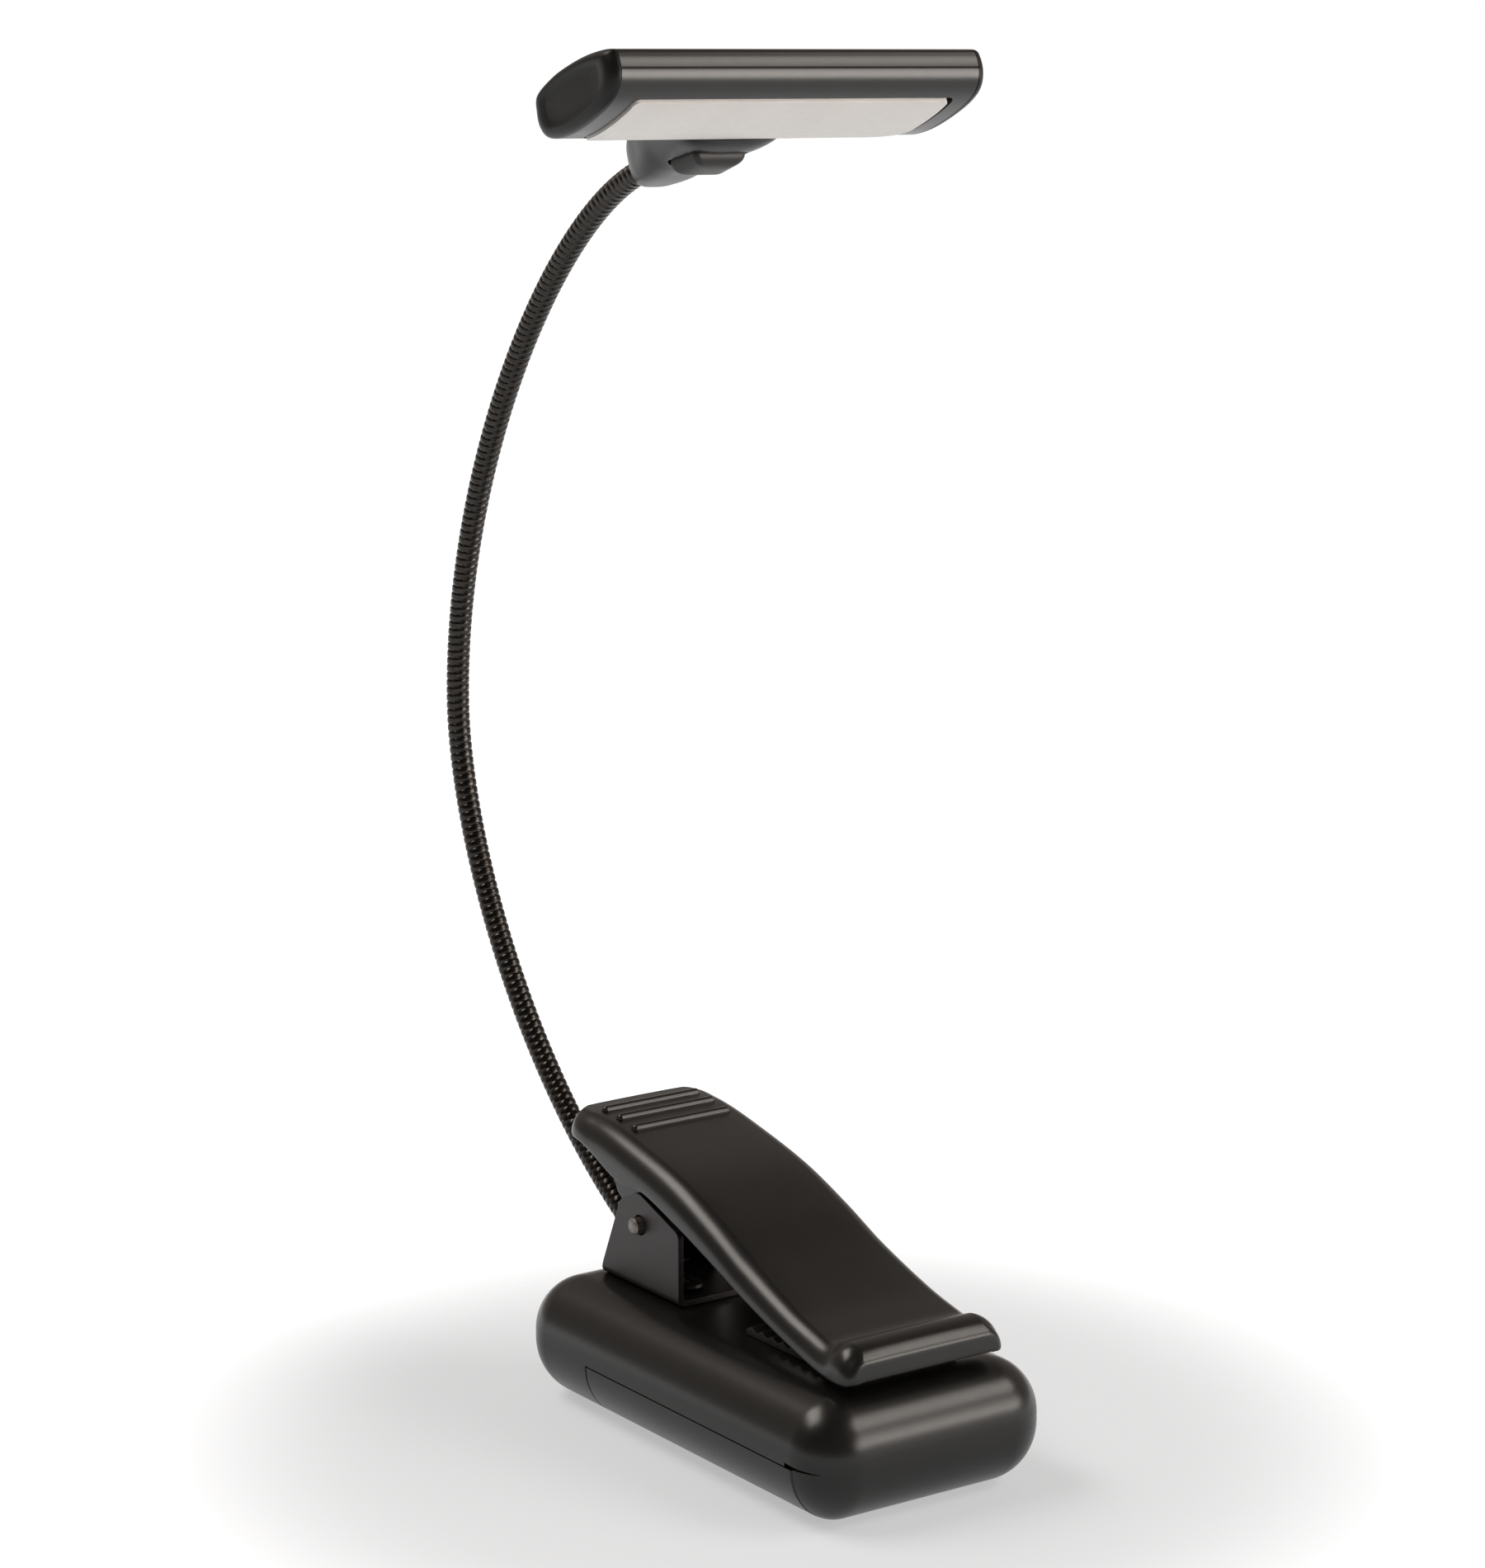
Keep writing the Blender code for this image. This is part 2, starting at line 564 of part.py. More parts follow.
def neck():
    """Links of the gooseneck, end to end; the first and last run on into their ferrules."""
    line = neck_line()
    total = sum((b - a).length for a, b in zip(line, line[1:]))
    pitch = total / NECK_LINKS
    foot, foot_way = neck_foot()
    tip, tip_way = neck_tip()
    for link in range(NECK_LINKS):
        start = link * pitch + (LINK_GAP / 2 if link else 0)
        end = (link + 1) * pitch - (LINK_GAP / 2 if link < NECK_LINKS - 1 else 0)
        points = [point_at(line, start + (end - start) * s / 5) for s in range(6)]
        if link == 0:
            points = [foot - foot_way * FOOT_SOCKET] + points
        if link == NECK_LINKS - 1:
            points = points + [tip + tip_way * TIP_SOCKET]
        piece = tube(f"neck_link_{link + 1}", points, NECK_R, "neck_steel", 10)
        if link:
            move_origin(piece, point_at(line, link * pitch))


def sleeve(name, start, end, outer, inner, finish, parent=None):
    """A short open tube."""
    shell = rod(name, start, end, outer, finish, 16, 0.5, parent)
    way = (Vector(end) - Vector(start)).normalized()
    hole = rod("hole", Vector(start) - way, Vector(end) + way, inner, finish, 12, 0.0, parent)
    return smooth(cut(shell, hole))


def ferrules():
    foot, foot_way = neck_foot()
    sleeve("neck_ferrule_base", foot - foot_way * 9, foot, FERRULE_R, NECK_R + GAP, "rubber")
    tip, tip_way = neck_tip()
    start = tip + tip_way * 6.3
    sleeve("neck_ferrule_head", start, start + tip_way * 3.6, FERRULE_R - 0.3, NECK_R + GAP, "bright_steel")


# ---------------------------------------------------------------- head

def head_frame():
    frame = bpy.data.objects.new("head_frame", None)
    bpy.context.scene.collection.objects.link(frame)
    turn = Matrix.Rotation(math.radians(-HEAD_ROLL), 4, "X") @ Matrix.Rotation(math.radians(-HEAD_TILT), 4, "Y")
    frame.matrix_world = Matrix.Translation(Vector(HEAD_CENTRE) * MM) @ turn
    bpy.context.view_layer.update()
    return frame


def head_loop(inset=0.0, steps=2):
    loop = closed_curve(HEAD_SECTION, steps)
    return inset_loop(loop, inset) if inset else loop


def bar(name, inset, half, finish, frame, steps=2):
    return prism_y(name, [tuple(p) for p in head_loop(inset, steps)], -half, half, finish, frame)


def underside(x):
    """Height of the head's lower surface at x."""
    loop = head_loop(0.0, 8)
    count = len(loop)
    heights = []
    for i in range(count):
        a, b = loop[i], loop[(i + 1) % count]
        if (a.x - x) * (b.x - x) <= 0 and a.x != b.x:
            heights.append(a.y + (b.y - a.y) * (x - a.x) / (b.x - a.x))
    return min(heights)


def head_shells(frame):
    half = HEAD_HALF - CAP_T - GAP
    finish = "black_plastic"
    for name, low, high in (("head_top_shell", CREASE_Z + GAP / 2, 9), ("head_bezel", -9, CREASE_Z - GAP / 2)):
        shell = bar(name, 0.0, half, finish, frame)
        cut(shell, bar("cavity", HEAD_WALL, half + 1, finish, frame))
        combine(shell, box("side", (-15, -40, low), (15, 40, high), finish, frame), "INTERSECT")
        if name == "head_bezel":
            low_corner = (WINDOW_X0 - GAP, -WINDOW_HALF - GAP, -9)
            high_corner = (WINDOW_X1 + GAP, WINDOW_HALF + GAP, -1)
            cut(shell, box("window", low_corner, high_corner, finish, frame))
        else:
            cut(shell, rod("lead_hole", (-14, 0, 1.9), (-7, 0, 1.9), 1.2, finish, 10, 0.0, frame))
        smooth(shell)


def end_caps(frame):
    """Caps with softly rounded rims closing both ends of the bar."""
    outline = head_loop()
    for name, sign in (("end_cap_left", -1), ("end_cap_right", 1)):
        rings = []
        for depth, inset, scale in ((0.0, 0.0, 1.0), (0.6, 0.15, 1.0), (1.2, 0.5, 0.96), (CAP_T, 0.7, 0.87)):
            y = sign * (HEAD_HALF - CAP_T + depth)
            ring = inset_loop(outline, inset) if inset else outline
            rings.append([(p.x * scale, y, p.y * scale) for p in ring])
        smooth(loft(name, rings, "black_plastic", frame), 50)


def diffuser(frame):
    count = 10
    xs = [WINDOW_X0 + (WINDOW_X1 - WINDOW_X0) * s / count for s in range(count + 1)]
    lower = [(x, underside(x)) for x in xs]
    upper = [(x, z + DIFFUSER_T) for x, z in reversed(lower)]
    smooth(prism_y("diffuser", lower + upper, -WINDOW_HALF, WINDOW_HALF, "diffuser", frame))


def light_engine(frame):
    """Reflector frame, circuit board with its LED chips, and the lead to the switch."""
    low = (-7.6, -27.6, -2.2)
    tray_frame = box("reflector", low, (7.3, 27.6, 0.4), "white_plastic", frame)
    cut(tray_frame, box("inner", (-6.8, -26.8, -3), (6.5, 26.8, 2), "white_plastic", frame))
    board = box("led_board", (-7.2, -27.6, 0.7), (7.0, 27.6, 1.5), "circuit_board", frame)
    for index in range(LED_COUNT):
        y = (index - (LED_COUNT - 1) / 2) * 9.0
        join(board, box("chip", (-1.4, y - 1.4, 0.1), (1.4, y + 1.4, 1.0), "white_plastic", frame))
    route = [(-4.5, 0, 2.15), (-8, 0, 1.95), (-12, 0, 1.9), (-16, 0, 1.8)]
    tube("switch_lead", route, 0.3, "wire", 8, frame)


def housing_ring(section, inset=0.0, sides=20):
    """Section of the neck housing: a flattened half ellipse below and a squarer half above."""
    x, centre, half, top, low = section
    half, top, low = half - inset, top - inset, low + inset
    ring = []
    for side in range(sides):
        turn = 2 * math.pi * side / sides
        c, s = math.cos(turn), math.sin(turn)
        power = 0.7 if s > 0 else 0.85
        reach = top if s > 0 else -low
        across = half * math.copysign(abs(c)**power, c)
        ring.append((x, centre + across, reach * math.copysign(abs(s)**power, s)))
    return ring


def neck_housing(frame):
    """Two shells between neck and head, holding the switch."""
    finish = "black_plastic"
    tip, tip_way = neck_tip()
    to_frame = frame.matrix_world.inverted()
    inner_end = to_frame @ ((tip + tip_way * 10.2) * MM) / MM
    outer_end = to_frame @ ((tip - tip_way * 8) * MM) / MM
    mouth_end = to_frame @ ((tip + tip_way * 6.0) * MM) / MM
    parting = -1.2
    for name, low, high in (("neck_housing_top", parting + GAP / 2, 9), ("neck_housing_bottom", -9, parting - GAP / 2)):
        shell = loft(name, [housing_ring(section) for section in HOUSING], finish, frame)
        cut(shell, bar("seat", -GAP, 30, finish, frame))
        hollow = [housing_ring(section, 1.5) for section in HOUSING[3:-1]]
        hollow[0] = [(x + 1.0, y, z) for x, y, z in hollow[0]]
        cut(shell, loft("hollow", hollow, finish, frame))
        cut(shell, rod("bore", inner_end, mouth_end, FERRULE_R, finish, 16, 0.0, frame))
        cut(shell, rod("mouth", inner_end, outer_end, NECK_R + GAP, finish, 16, 0.0, frame))
        combine(shell, box("side", (-50, -20, low), (0, 20, high), finish, frame), "INTERSECT")
        if name == "neck_housing_bottom":
            cut(shell, button_block("hole", GAP, -9, 0, finish, frame))
        else:
            cut(shell, rod("lead_hole", (-14, 0, 1.9), (-7, 0, 1.9), 1.2, finish, 10, 0.0, frame))
        smooth(shell)


def button_outline(grow):
    """Rounded plan outline (x, y) of the push button."""
    corner = 2.6 + grow
    x0, x1, half = BUTTON_X0 - grow, BUTTON_X1 + grow, BUTTON_HALF + grow
    centres = ((x1 - corner, half - corner, 0), (x0 + corner, half - corner, 90),
               (x0 + corner, corner - half, 180), (x1 - corner, corner - half, 270))
    outline = []
    for cx, cy, start in centres:
        outline += arc(cx, cy, corner, start, start + 90, 4)
    return outline


def button_block(name, grow, low, high, finish, frame):
    outline = button_outline(grow)
    return loft(name, [[(x, y, z) for x, y in outline] for z in (low, high)], finish, frame)


def switch(frame):
    """Domed push button under the housing and the switch it works."""
    middle = (BUTTON_X0 + BUTTON_X1) / 2
    outline = button_outline(0.0)
    rings = []
    for z, shrink in ((-4.1, 1.0), (-5.4, 1.0), (-6.2, 0.92), (-6.7, 0.74), (-6.9, 0.42)):
        rings.append([(middle + (x - middle) * shrink, y * shrink, z) for x, y in outline])
    smooth(loft("switch_button", rings, "button_plastic", frame), 50)
    box("switch_body", (-18.5, -2.6, -3.0), (-13.0, 2.6, 0.4), "white_plastic", frame)


# ---------------------------------------------------------------- whole lamp

def build():
    clear_scene()
    base_upper_shell()
    base_lower_shell()
    battery_door()
    batteries()
    contacts()
    pivot_bracket()
    bracket_screws()
    clip_lever()
    jaw_pads()
    pivot_pin()
    clip_spring()
    neck()
    ferrules()
    frame = head_frame()
    head_shells(frame)
    end_caps(frame)
    diffuser(frame)
    light_engine(frame)
    neck_housing(frame)
    switch(frame)


build()
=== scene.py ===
import bisect
import json
import math

import bmesh
import bpy
from mathutils import Matrix, Vector


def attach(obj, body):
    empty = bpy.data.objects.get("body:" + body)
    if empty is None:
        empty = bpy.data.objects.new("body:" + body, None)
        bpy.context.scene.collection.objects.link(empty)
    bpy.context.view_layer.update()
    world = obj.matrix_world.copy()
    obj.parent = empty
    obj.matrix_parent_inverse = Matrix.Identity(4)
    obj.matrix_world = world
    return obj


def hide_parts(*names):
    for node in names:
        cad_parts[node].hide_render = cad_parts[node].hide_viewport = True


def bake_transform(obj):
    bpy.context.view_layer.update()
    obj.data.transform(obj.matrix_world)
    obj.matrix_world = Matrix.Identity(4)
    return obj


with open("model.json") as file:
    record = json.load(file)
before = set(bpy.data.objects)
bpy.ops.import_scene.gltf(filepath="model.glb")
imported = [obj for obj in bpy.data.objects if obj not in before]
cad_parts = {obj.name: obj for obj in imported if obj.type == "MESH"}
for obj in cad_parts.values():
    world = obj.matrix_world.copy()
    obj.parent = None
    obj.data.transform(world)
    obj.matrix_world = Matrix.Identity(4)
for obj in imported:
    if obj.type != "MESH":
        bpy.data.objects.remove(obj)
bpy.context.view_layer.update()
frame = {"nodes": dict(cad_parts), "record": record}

# Lengths are millimetres in the row's frame, as the CAD source states them; MM turns them into metres.
MM = 0.001

# ---------------------------------------------------------------- sizes shared with the CAD

BASE_L, BASE_W, BASE_H = 80.0, 43.1, 19.2
BASE_PLAN_R, BASE_TOP_R, BASE_LOW_R = 8.0, 8.4, 9.4
BASE_WALL, FLOOR_T = 1.8, 1.6
PARTING_Z = 9.45
PARTING_GAP = 0.005
DOOR_X0, DOOR_X1, DOOR_Y1 = -20.3, 33.0, 16.8
SEAM, FRONT_SEAM = 0.3, 0.12

CELL_R, CELL_L, CELL_PITCH, CELL_Z, CELL_Y = 5.25, 44.5, 10.9, 7.3, 0.25
CELL_NUB_R, CELL_NUB_L, CONTACT_T = 1.9, 0.8, 0.4
CELL_SPRING_L, CELL_SPRING_TURNS = 6.4, 3

PIN_X, PIN_Z, PIN_R, PIN_HALF = -21.0, 29.7, 1.3, 12.7
BRACKET_HALF, SHEET_T, BRACKET_FLOOR_Z = 11.2, 1.0, 19.5
SCREWS = ((-15.5, 6.0), (-15.5, -6.0))
LEVER_WALL, LEVER_FILLET, CROWN_LEAN = 1.7, 4.3, 12.0
EAR_Y0, EAR_Y1, EAR_R = 8.3, 9.8, 3.6
RIB_X, RIB_HALF, RIB_R = (-34.4, -30.3, -26.2), 9.0, 0.75
PAD_HALF = 9.5
SPRING_WIRE_R, SPRING_R, SPRING_TURNS, SPRING_HALF = 0.45, 2.4, 5, 4.2
LEVER_TOP = ((-39, 44.1), (-31, 43.9), (-22, 42.3), (-10, 39.4), (0, 35.7), (10, 31.3), (20, 27.6),
             (26, 26.0), (29.5, 25.4), (32.5, 26.5), (35, 26.0), (36.6, 24.4))
LEVER_EDGE = ((-39, 40.0), (-34, 39.5), (-24, 36.0), (-18, 36.1), (-10, 33.9), (0, 30.4), (11, 26.3),
              (22, 22.9), (30, 21.1), (35, 20.9), (36.6, 21.4))
LEVER_HALF = ((-39, 11.0), (-38.2, 12.2), (-36, 12.9), (-30, 13.1), (-10, 13.4), (20, 13.9), (34, 14.3),
              (35.8, 13.9), (36.6, 13.2))

NECK_R, NECK_LINKS, COIL_PITCH, COIL_DEPTH = 1.85, 9, 1.22, 0.26
NECK_FOOT, FOOT_ANGLE, FOOT_HANDLE = (-38.5, 22.4), 150.3, 39.0
NECK_BACK, BACK_LOW_HANDLE, BACK_TOP_HANDLE = (-89.7, 98.4), 21.1, 36.3
NECK_TIP, TIP_ANGLE, TIP_HANDLE = (-38.4, 186.15), 24.3, 26.4
FOOT_SOCKET, TIP_SOCKET = 8.0, 9.0

HEAD_CENTRE, HEAD_TILT, HEAD_ROLL = (-4.6, 0.0, 200.7), 21.0, 2.15
HEAD_HALF, CAP_T, HEAD_WALL, CREASE_Z = 32.7, 1.6, 1.2, 0.25
LENS_X0, LENS_X1, LENS_HALF, LENS_PROUD = -7.4, 7.3, 27.35, 0.35
BUTTON_X0, BUTTON_X1, BUTTON_HALF, BUTTON_CORNER = -19.6, -12.6, 4.6, 0.9
HEAD_SECTION = ((-10.5, 0.2), (-9.6, 2.7), (-5, 4.0), (0, 4.35), (5, 4.15), (9.5, 3.3), (10.5, 2.1),
                (10.55, -0.3), (9.3, -2.4), (6.5, -3.7), (1.5, -4.5), (-4, -4.7), (-8.6, -3.9),
                (-10.3, -2.1))

HEAD = (Matrix.Translation(Vector(HEAD_CENTRE))
        @ Matrix.Rotation(math.radians(-HEAD_ROLL), 4, "X")
        @ Matrix.Rotation(math.radians(-HEAD_TILT), 4, "Y"))
HERE = Matrix.Identity(4)


# ---------------------------------------------------------------- materials

class Nodes:
    """A material's node tree with short calls for adding and joining nodes."""

    def __init__(self, name):
        self.material = bpy.data.materials.new(name)
        self.material.use_nodes = True
        self.tree = self.material.node_tree
        self.shader = self.tree.nodes["Principled BSDF"]

    def add(self, kind, **values):
        node = self.tree.nodes.new(kind)
        for key, value in values.items():
            if hasattr(node, key):
                setattr(node, key, value)
            else:
                node.inputs[key.replace("_", " ").title()].default_value = value
        return node

    def link(self, a, b):
        self.tree.links.new(a, b)

    def position(self):
        return self.add("ShaderNodeTexCoord").outputs["Object"]

    def noise(self, scale, detail=2.0):
        """Noise in the piece's own coordinates; scale is in cells a metre."""
        where = self.position()
        node = self.add("ShaderNodeTexNoise")
        node.inputs["Scale"].default_value = scale
        node.inputs["Detail"].default_value = detail
        self.link(where, node.inputs["Vector"])
        return node.outputs["Fac"]

    def spread(self, value, low, high, socket):
        """Map a 0.3-0.7 noise onto low-high and feed a shader socket."""
        node = self.add("ShaderNodeMapRange")
        for key, number in (("From Min", 0.3), ("From Max", 0.7), ("To Min", low), ("To Max", high)):
            node.inputs[key].default_value = number
        self.link(value, node.inputs["Value"])
        self.link(node.outputs["Result"], self.shader.inputs[socket])

    def tint(self, value, dark, light):
        """Blend two colours by a noise and feed the base colour."""
        ramp = self.add("ShaderNodeValToRGB")
        ramp.color_ramp.elements[0].position = 0.3
        ramp.color_ramp.elements[1].position = 0.7
        ramp.color_ramp.elements[0].color = (*dark, 1)
        ramp.color_ramp.elements[1].color = (*light, 1)
        self.link(value, ramp.inputs["Fac"])
        self.link(ramp.outputs["Color"], self.shader.inputs["Base Color"])

    def relief(self, value, depth):
        """Bump from a noise; depth in metres."""
        node = self.add("ShaderNodeBump")
        node.inputs["Strength"].default_value = 1.0
        node.inputs["Distance"].default_value = depth
        self.link(value, node.inputs["Height"])
        self.link(node.outputs["Normal"], self.shader.inputs["Normal"])

    def set(self, **values):
        for key, value in values.items():
            self.shader.inputs[key.replace("_", " ")].default_value = value


FINE_GRAIN, METAL_GRAIN, LENS_GRAIN = 0.6e-6, 3e-6, 3e-6      # depths of the finest relief, in metres


def moulded(name, dark, light, rough, grain=6000.0, depth=FINE_GRAIN, gloss=0.4):
    """Injection-moulded plastic: fine spark-eroded grain, a little unevenness in tone and gloss."""
    m = Nodes(name)
    m.tint(m.noise(260.0), dark, light)
    m.spread(m.noise(900.0, 3.0), rough - 0.01, rough + 0.01, "Roughness")
    m.relief(m.noise(grain, 3.0), depth)
    m.set(IOR=1.5)
    m.shader.inputs["Specular IOR Level"].default_value = gloss
    return m.material


def metal(name, dark, light, rough):
    """Plated or polished metal with fine unevenness in tone and gloss."""
    m = Nodes(name)
    m.tint(m.noise(1500.0, 3.0), dark, light)
    m.spread(m.noise(2500.0), rough - 0.05, rough + 0.06, "Roughness")
    m.relief(m.noise(6000.0), METAL_GRAIN)
    m.set(Metallic=1.0)
    return m.material


def cell_sleeve():
    """Printed battery sleeve: a dark body and a coppery band at the contact end, no lettering."""
    m = Nodes("cell_sleeve")
    where = m.position()
    split = m.add("ShaderNodeSeparateXYZ")
    m.link(where, split.inputs["Vector"])
    ramp = m.add("ShaderNodeValToRGB")
    ramp.color_ramp.interpolation = "CONSTANT"
    ramp.color_ramp.elements[0].color = (0.03, 0.035, 0.045, 1)
    ramp.color_ramp.elements[1].position = 0.62
    ramp.color_ramp.elements[1].color = (0.42, 0.2, 0.07, 1)
    reach = m.add("ShaderNodeMapRange")
    for key, number in (("From Min", -0.02), ("From Max", 0.033), ("To Min", 0.0), ("To Max", 1.0)):
        reach.inputs[key].default_value = number
    m.link(split.outputs["X"], reach.inputs["Value"])
    m.link(reach.outputs["Result"], ramp.inputs["Fac"])
    m.link(ramp.outputs["Color"], m.shader.inputs["Base Color"])
    m.spread(m.noise(1200.0), 0.28, 0.36, "Roughness")
    m.set(Metallic=0.35)
    return m.material


def milky(name):
    """Diffusing lens: satin white with light scattering under the surface."""
    m = Nodes(name)
    m.tint(m.noise(90.0, 1.0), (0.405, 0.388, 0.368), (0.425, 0.408, 0.388))
    m.spread(m.noise(700.0), 0.4, 0.5, "Roughness")
    m.relief(m.noise(3000.0), LENS_GRAIN)
    m.set(IOR=1.49)
    m.shader.inputs["Subsurface Weight"].default_value = 0.25
    m.shader.inputs["Subsurface Radius"].default_value = (0.002, 0.002, 0.0018)
    return m.material


def board():
    """Lacquered circuit board with a faint weave."""
    m = Nodes("board")
    where = m.position()
    wave = m.add("ShaderNodeTexWave")
    wave.inputs["Scale"].default_value = 300.0
    wave.inputs["Distortion"].default_value = 4.0
    m.link(where, wave.inputs["Vector"])
    m.tint(wave.outputs["Fac"], (0.015, 0.09, 0.04), (0.05, 0.2, 0.09))
    m.spread(m.noise(2000.0), 0.3, 0.4, "Roughness")
    return m.material


FINISH = {
    "black_plastic": moulded("satin_black", (0.0045, 0.004, 0.0036), (0.006, 0.0053, 0.0048), 0.29),
    "cap_plastic": moulded("cap_black", (0.003, 0.0028, 0.0026), (0.004, 0.0037, 0.0034), 0.38, gloss=0.2),
    "housing_plastic": moulded("housing_black", (0.0035, 0.0031, 0.0028), (0.0045, 0.004, 0.0036), 0.32,
                               gloss=0.24),
    "button_plastic": moulded("button_black", (0.007, 0.0063, 0.0057), (0.009, 0.0081, 0.0074), 0.45,
                              5000.0, 1e-6, 0.3),
    "black_steel": moulded("painted_steel", (0.009, 0.0056, 0.005), (0.011, 0.007, 0.0063), 0.44,
                           3500.0, 2e-6),
    "pin_steel": metal("pin_steel", (0.17, 0.155, 0.145), (0.24, 0.22, 0.205), 0.5),
    "neck_steel": metal("black_chrome", (0.026, 0.0235, 0.0215), (0.04, 0.0365, 0.0335), 0.22),
    "bright_steel": metal("nickel", (0.5, 0.49, 0.47), (0.62, 0.61, 0.59), 0.28),
    "rubber": moulded("rubber", (0.006, 0.0057, 0.0055), (0.009, 0.0086, 0.0082), 0.65, 4000.0, 8e-6),
    "diffuser": milky("milky_lens"),
    "white_plastic": moulded("white_plastic", (0.78, 0.77, 0.75), (0.83, 0.82, 0.8), 0.45),
    "circuit_board": board(),
    "cell_wrap": cell_sleeve(),
    "wire": moulded("wire_red", (0.25, 0.015, 0.012), (0.32, 0.02, 0.016), 0.4),
}


# ---------------------------------------------------------------- mesh helpers

def make(name, verts, faces, at=HERE):
    """A closed mesh from points in millimetres, moved by a matrix."""
    mesh = bpy.data.meshes.new(name)
    mesh.from_pydata([(at @ Vector(v)) * MM for v in verts], [], faces)
    bm = bmesh.new()
    bm.from_mesh(mesh)
    bmesh.ops.remove_doubles(bm, verts=bm.verts, dist=1e-7)
    bmesh.ops.recalc_face_normals(bm, faces=bm.faces)
    bm.to_mesh(mesh)
    bm.free()
    obj = bpy.data.objects.new(name, mesh)
    bpy.context.scene.collection.objects.link(obj)
    return obj


def loft(name, rings, at=HERE, closed=False):
    """Skin equal-sized closed rings; cap both ends, or join the last ring to the first."""
    count, rows = len(rings[0]), len(rings)
    verts = [p for ring in rings for p in ring]
    faces = [] if closed else [tuple(range(count)), tuple(range(len(verts) - count, len(verts)))]
    for row in range(rows if closed else rows - 1):
        a, b = row * count, (row + 1) % rows * count
        faces += [(a + i, a + (i + 1) % count, b + (i + 1) % count, b + i) for i in range(count)]
    return make(name, verts, faces, at)


def prism_y(name, outline, y0, y1, at=HERE):
    """A flat (x, z) outline carried from y0 to y1."""
    return loft(name, [[(x, y, z) for x, z in outline] for y in (y0, y1)], at)


def prism_z(name, outline, z0, z1, at=HERE):
    """A flat (x, y) outline carried from z0 to z1."""
    return loft(name, [[(x, y, z) for x, y in outline] for z in (z0, z1)], at)


def box(name, low, high):
    outline = [(low[0], low[2]), (high[0], low[2]), (high[0], high[2]), (low[0], high[2])]
    return prism_y(name, outline, low[1], high[1])


def frame_along(direction):
    """Two directions square to one another and to the given one."""
    side = Vector((0, 1, 0)) if abs(direction.y) < 0.9 else Vector((1, 0, 0))
    first = side.cross(direction).normalized()
    return first, direction.cross(first).normalized()


def turned(name, start, end, profile, sides=48, at=HERE, closed=False):
    """Round piece along an axis: profile holds (distance from start, radius)."""
    start, end = Vector(start), Vector(end)
    axis = (end - start).normalized()
    u, v = frame_along(axis)
    turns = [2 * math.pi * i / sides for i in range(sides)]
    rings = [[start + axis * d + (u * math.cos(t) + v * math.sin(t)) * r for t in turns]
             for d, r in profile]
    return loft(name, rings, at, closed)


def rod(name, start, end, radius, sides=32, at=HERE):
    length = (Vector(end) - Vector(start)).length
    return turned(name, start, end, [(0, radius), (length, radius)], sides, at)


def tube(name, points, radius, sides):
    """A round bar along a list of points, with rounded ends."""
    points = [Vector(p) for p in points]
    ways = [(points[min(i + 1, len(points) - 1)] - points[max(i - 1, 0)]).normalized()
            for i in range(len(points))]
    u, _ = frame_along(ways[0])
    turns = [2 * math.pi * i / sides for i in range(sides)]
    rings = []
    for index, (point, way) in enumerate(zip(points, ways)):
        u = (u - way * u.dot(way)).normalized()
        v = way.cross(u)
        ends = [(0.0, 1.0)]
        if index == 0:
            ends = [(-0.8, 0.4), (-0.5, 0.8), (0.0, 1.0)]
        elif index == len(points) - 1:
            ends = [(0.0, 1.0), (0.5, 0.8), (0.8, 0.4)]
        for reach, share in ends:
            middle = point + way * reach * radius
            rings.append([middle + (u * math.cos(t) + v * math.sin(t)) * radius * share for t in turns])
    return loft(name, rings)


def apply_modifiers(obj):
    """Bake an object's modifiers into its mesh."""
    bpy.context.view_layer.update()
    evaluated = obj.evaluated_get(bpy.context.evaluated_depsgraph_get())
    mesh = bpy.data.meshes.new_from_object(evaluated)
    obj.modifiers.clear()
    old = obj.data
    obj.data = mesh
    mesh.name = obj.name
    bpy.data.meshes.remove(old)
    return obj


def combine(obj, other, operation):
    step = obj.modifiers.new("combine", "BOOLEAN")
    step.operation = operation
    step.solver = "EXACT"
    step.object = other
    apply_modifiers(obj)
    bpy.data.objects.remove(other, do_unlink=True)
    return obj


def cut(obj, other):
    return combine(obj, other, "DIFFERENCE")


def join(obj, other):
    return combine(obj, other, "UNION")


def soften(obj, width, segments=2, degrees=40):
    """Round the edges sharper than an angle."""
    step = obj.modifiers.new("bevel", "BEVEL")
    step.width = width * MM
    step.segments = segments
    step.limit_method = "ANGLE"
    step.angle_limit = math.radians(degrees)
    step.miter_outer = "MITER_ARC"
    return apply_modifiers(obj)


def merge(name, objects):
    """One object from several that share a body and a finish."""
    bm = bmesh.new()
    for obj in objects:
        bm.from_mesh(obj.data)
        bpy.data.objects.remove(obj, do_unlink=True)
    mesh = bpy.data.meshes.new(name)
    bm.to_mesh(mesh)
    bm.free()
    made = bpy.data.objects.new(name, mesh)
    bpy.context.scene.collection.objects.link(made)
    return made


def dress(obj, finish, degrees=35, weigh=True):
    """Smooth shading and material."""
    obj.data.shade_smooth()
    obj.data.set_sharp_from_angle(angle=math.radians(degrees))
    if weigh:
        step = obj.modifiers.new("flat_faces", "WEIGHTED_NORMAL")
        step.keep_sharp = True
        step.weight = 80
        apply_modifiers(obj)
    obj.data.materials.clear()
    obj.data.materials.append(FINISH[finish])
    return obj


def place(obj, body, nodes, finish, degrees=35):
    """Finish a piece and fix it to its body in place of CAD nodes."""
    dress(obj, finish, degrees)
    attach(obj, body)
    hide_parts(*nodes)
    return obj


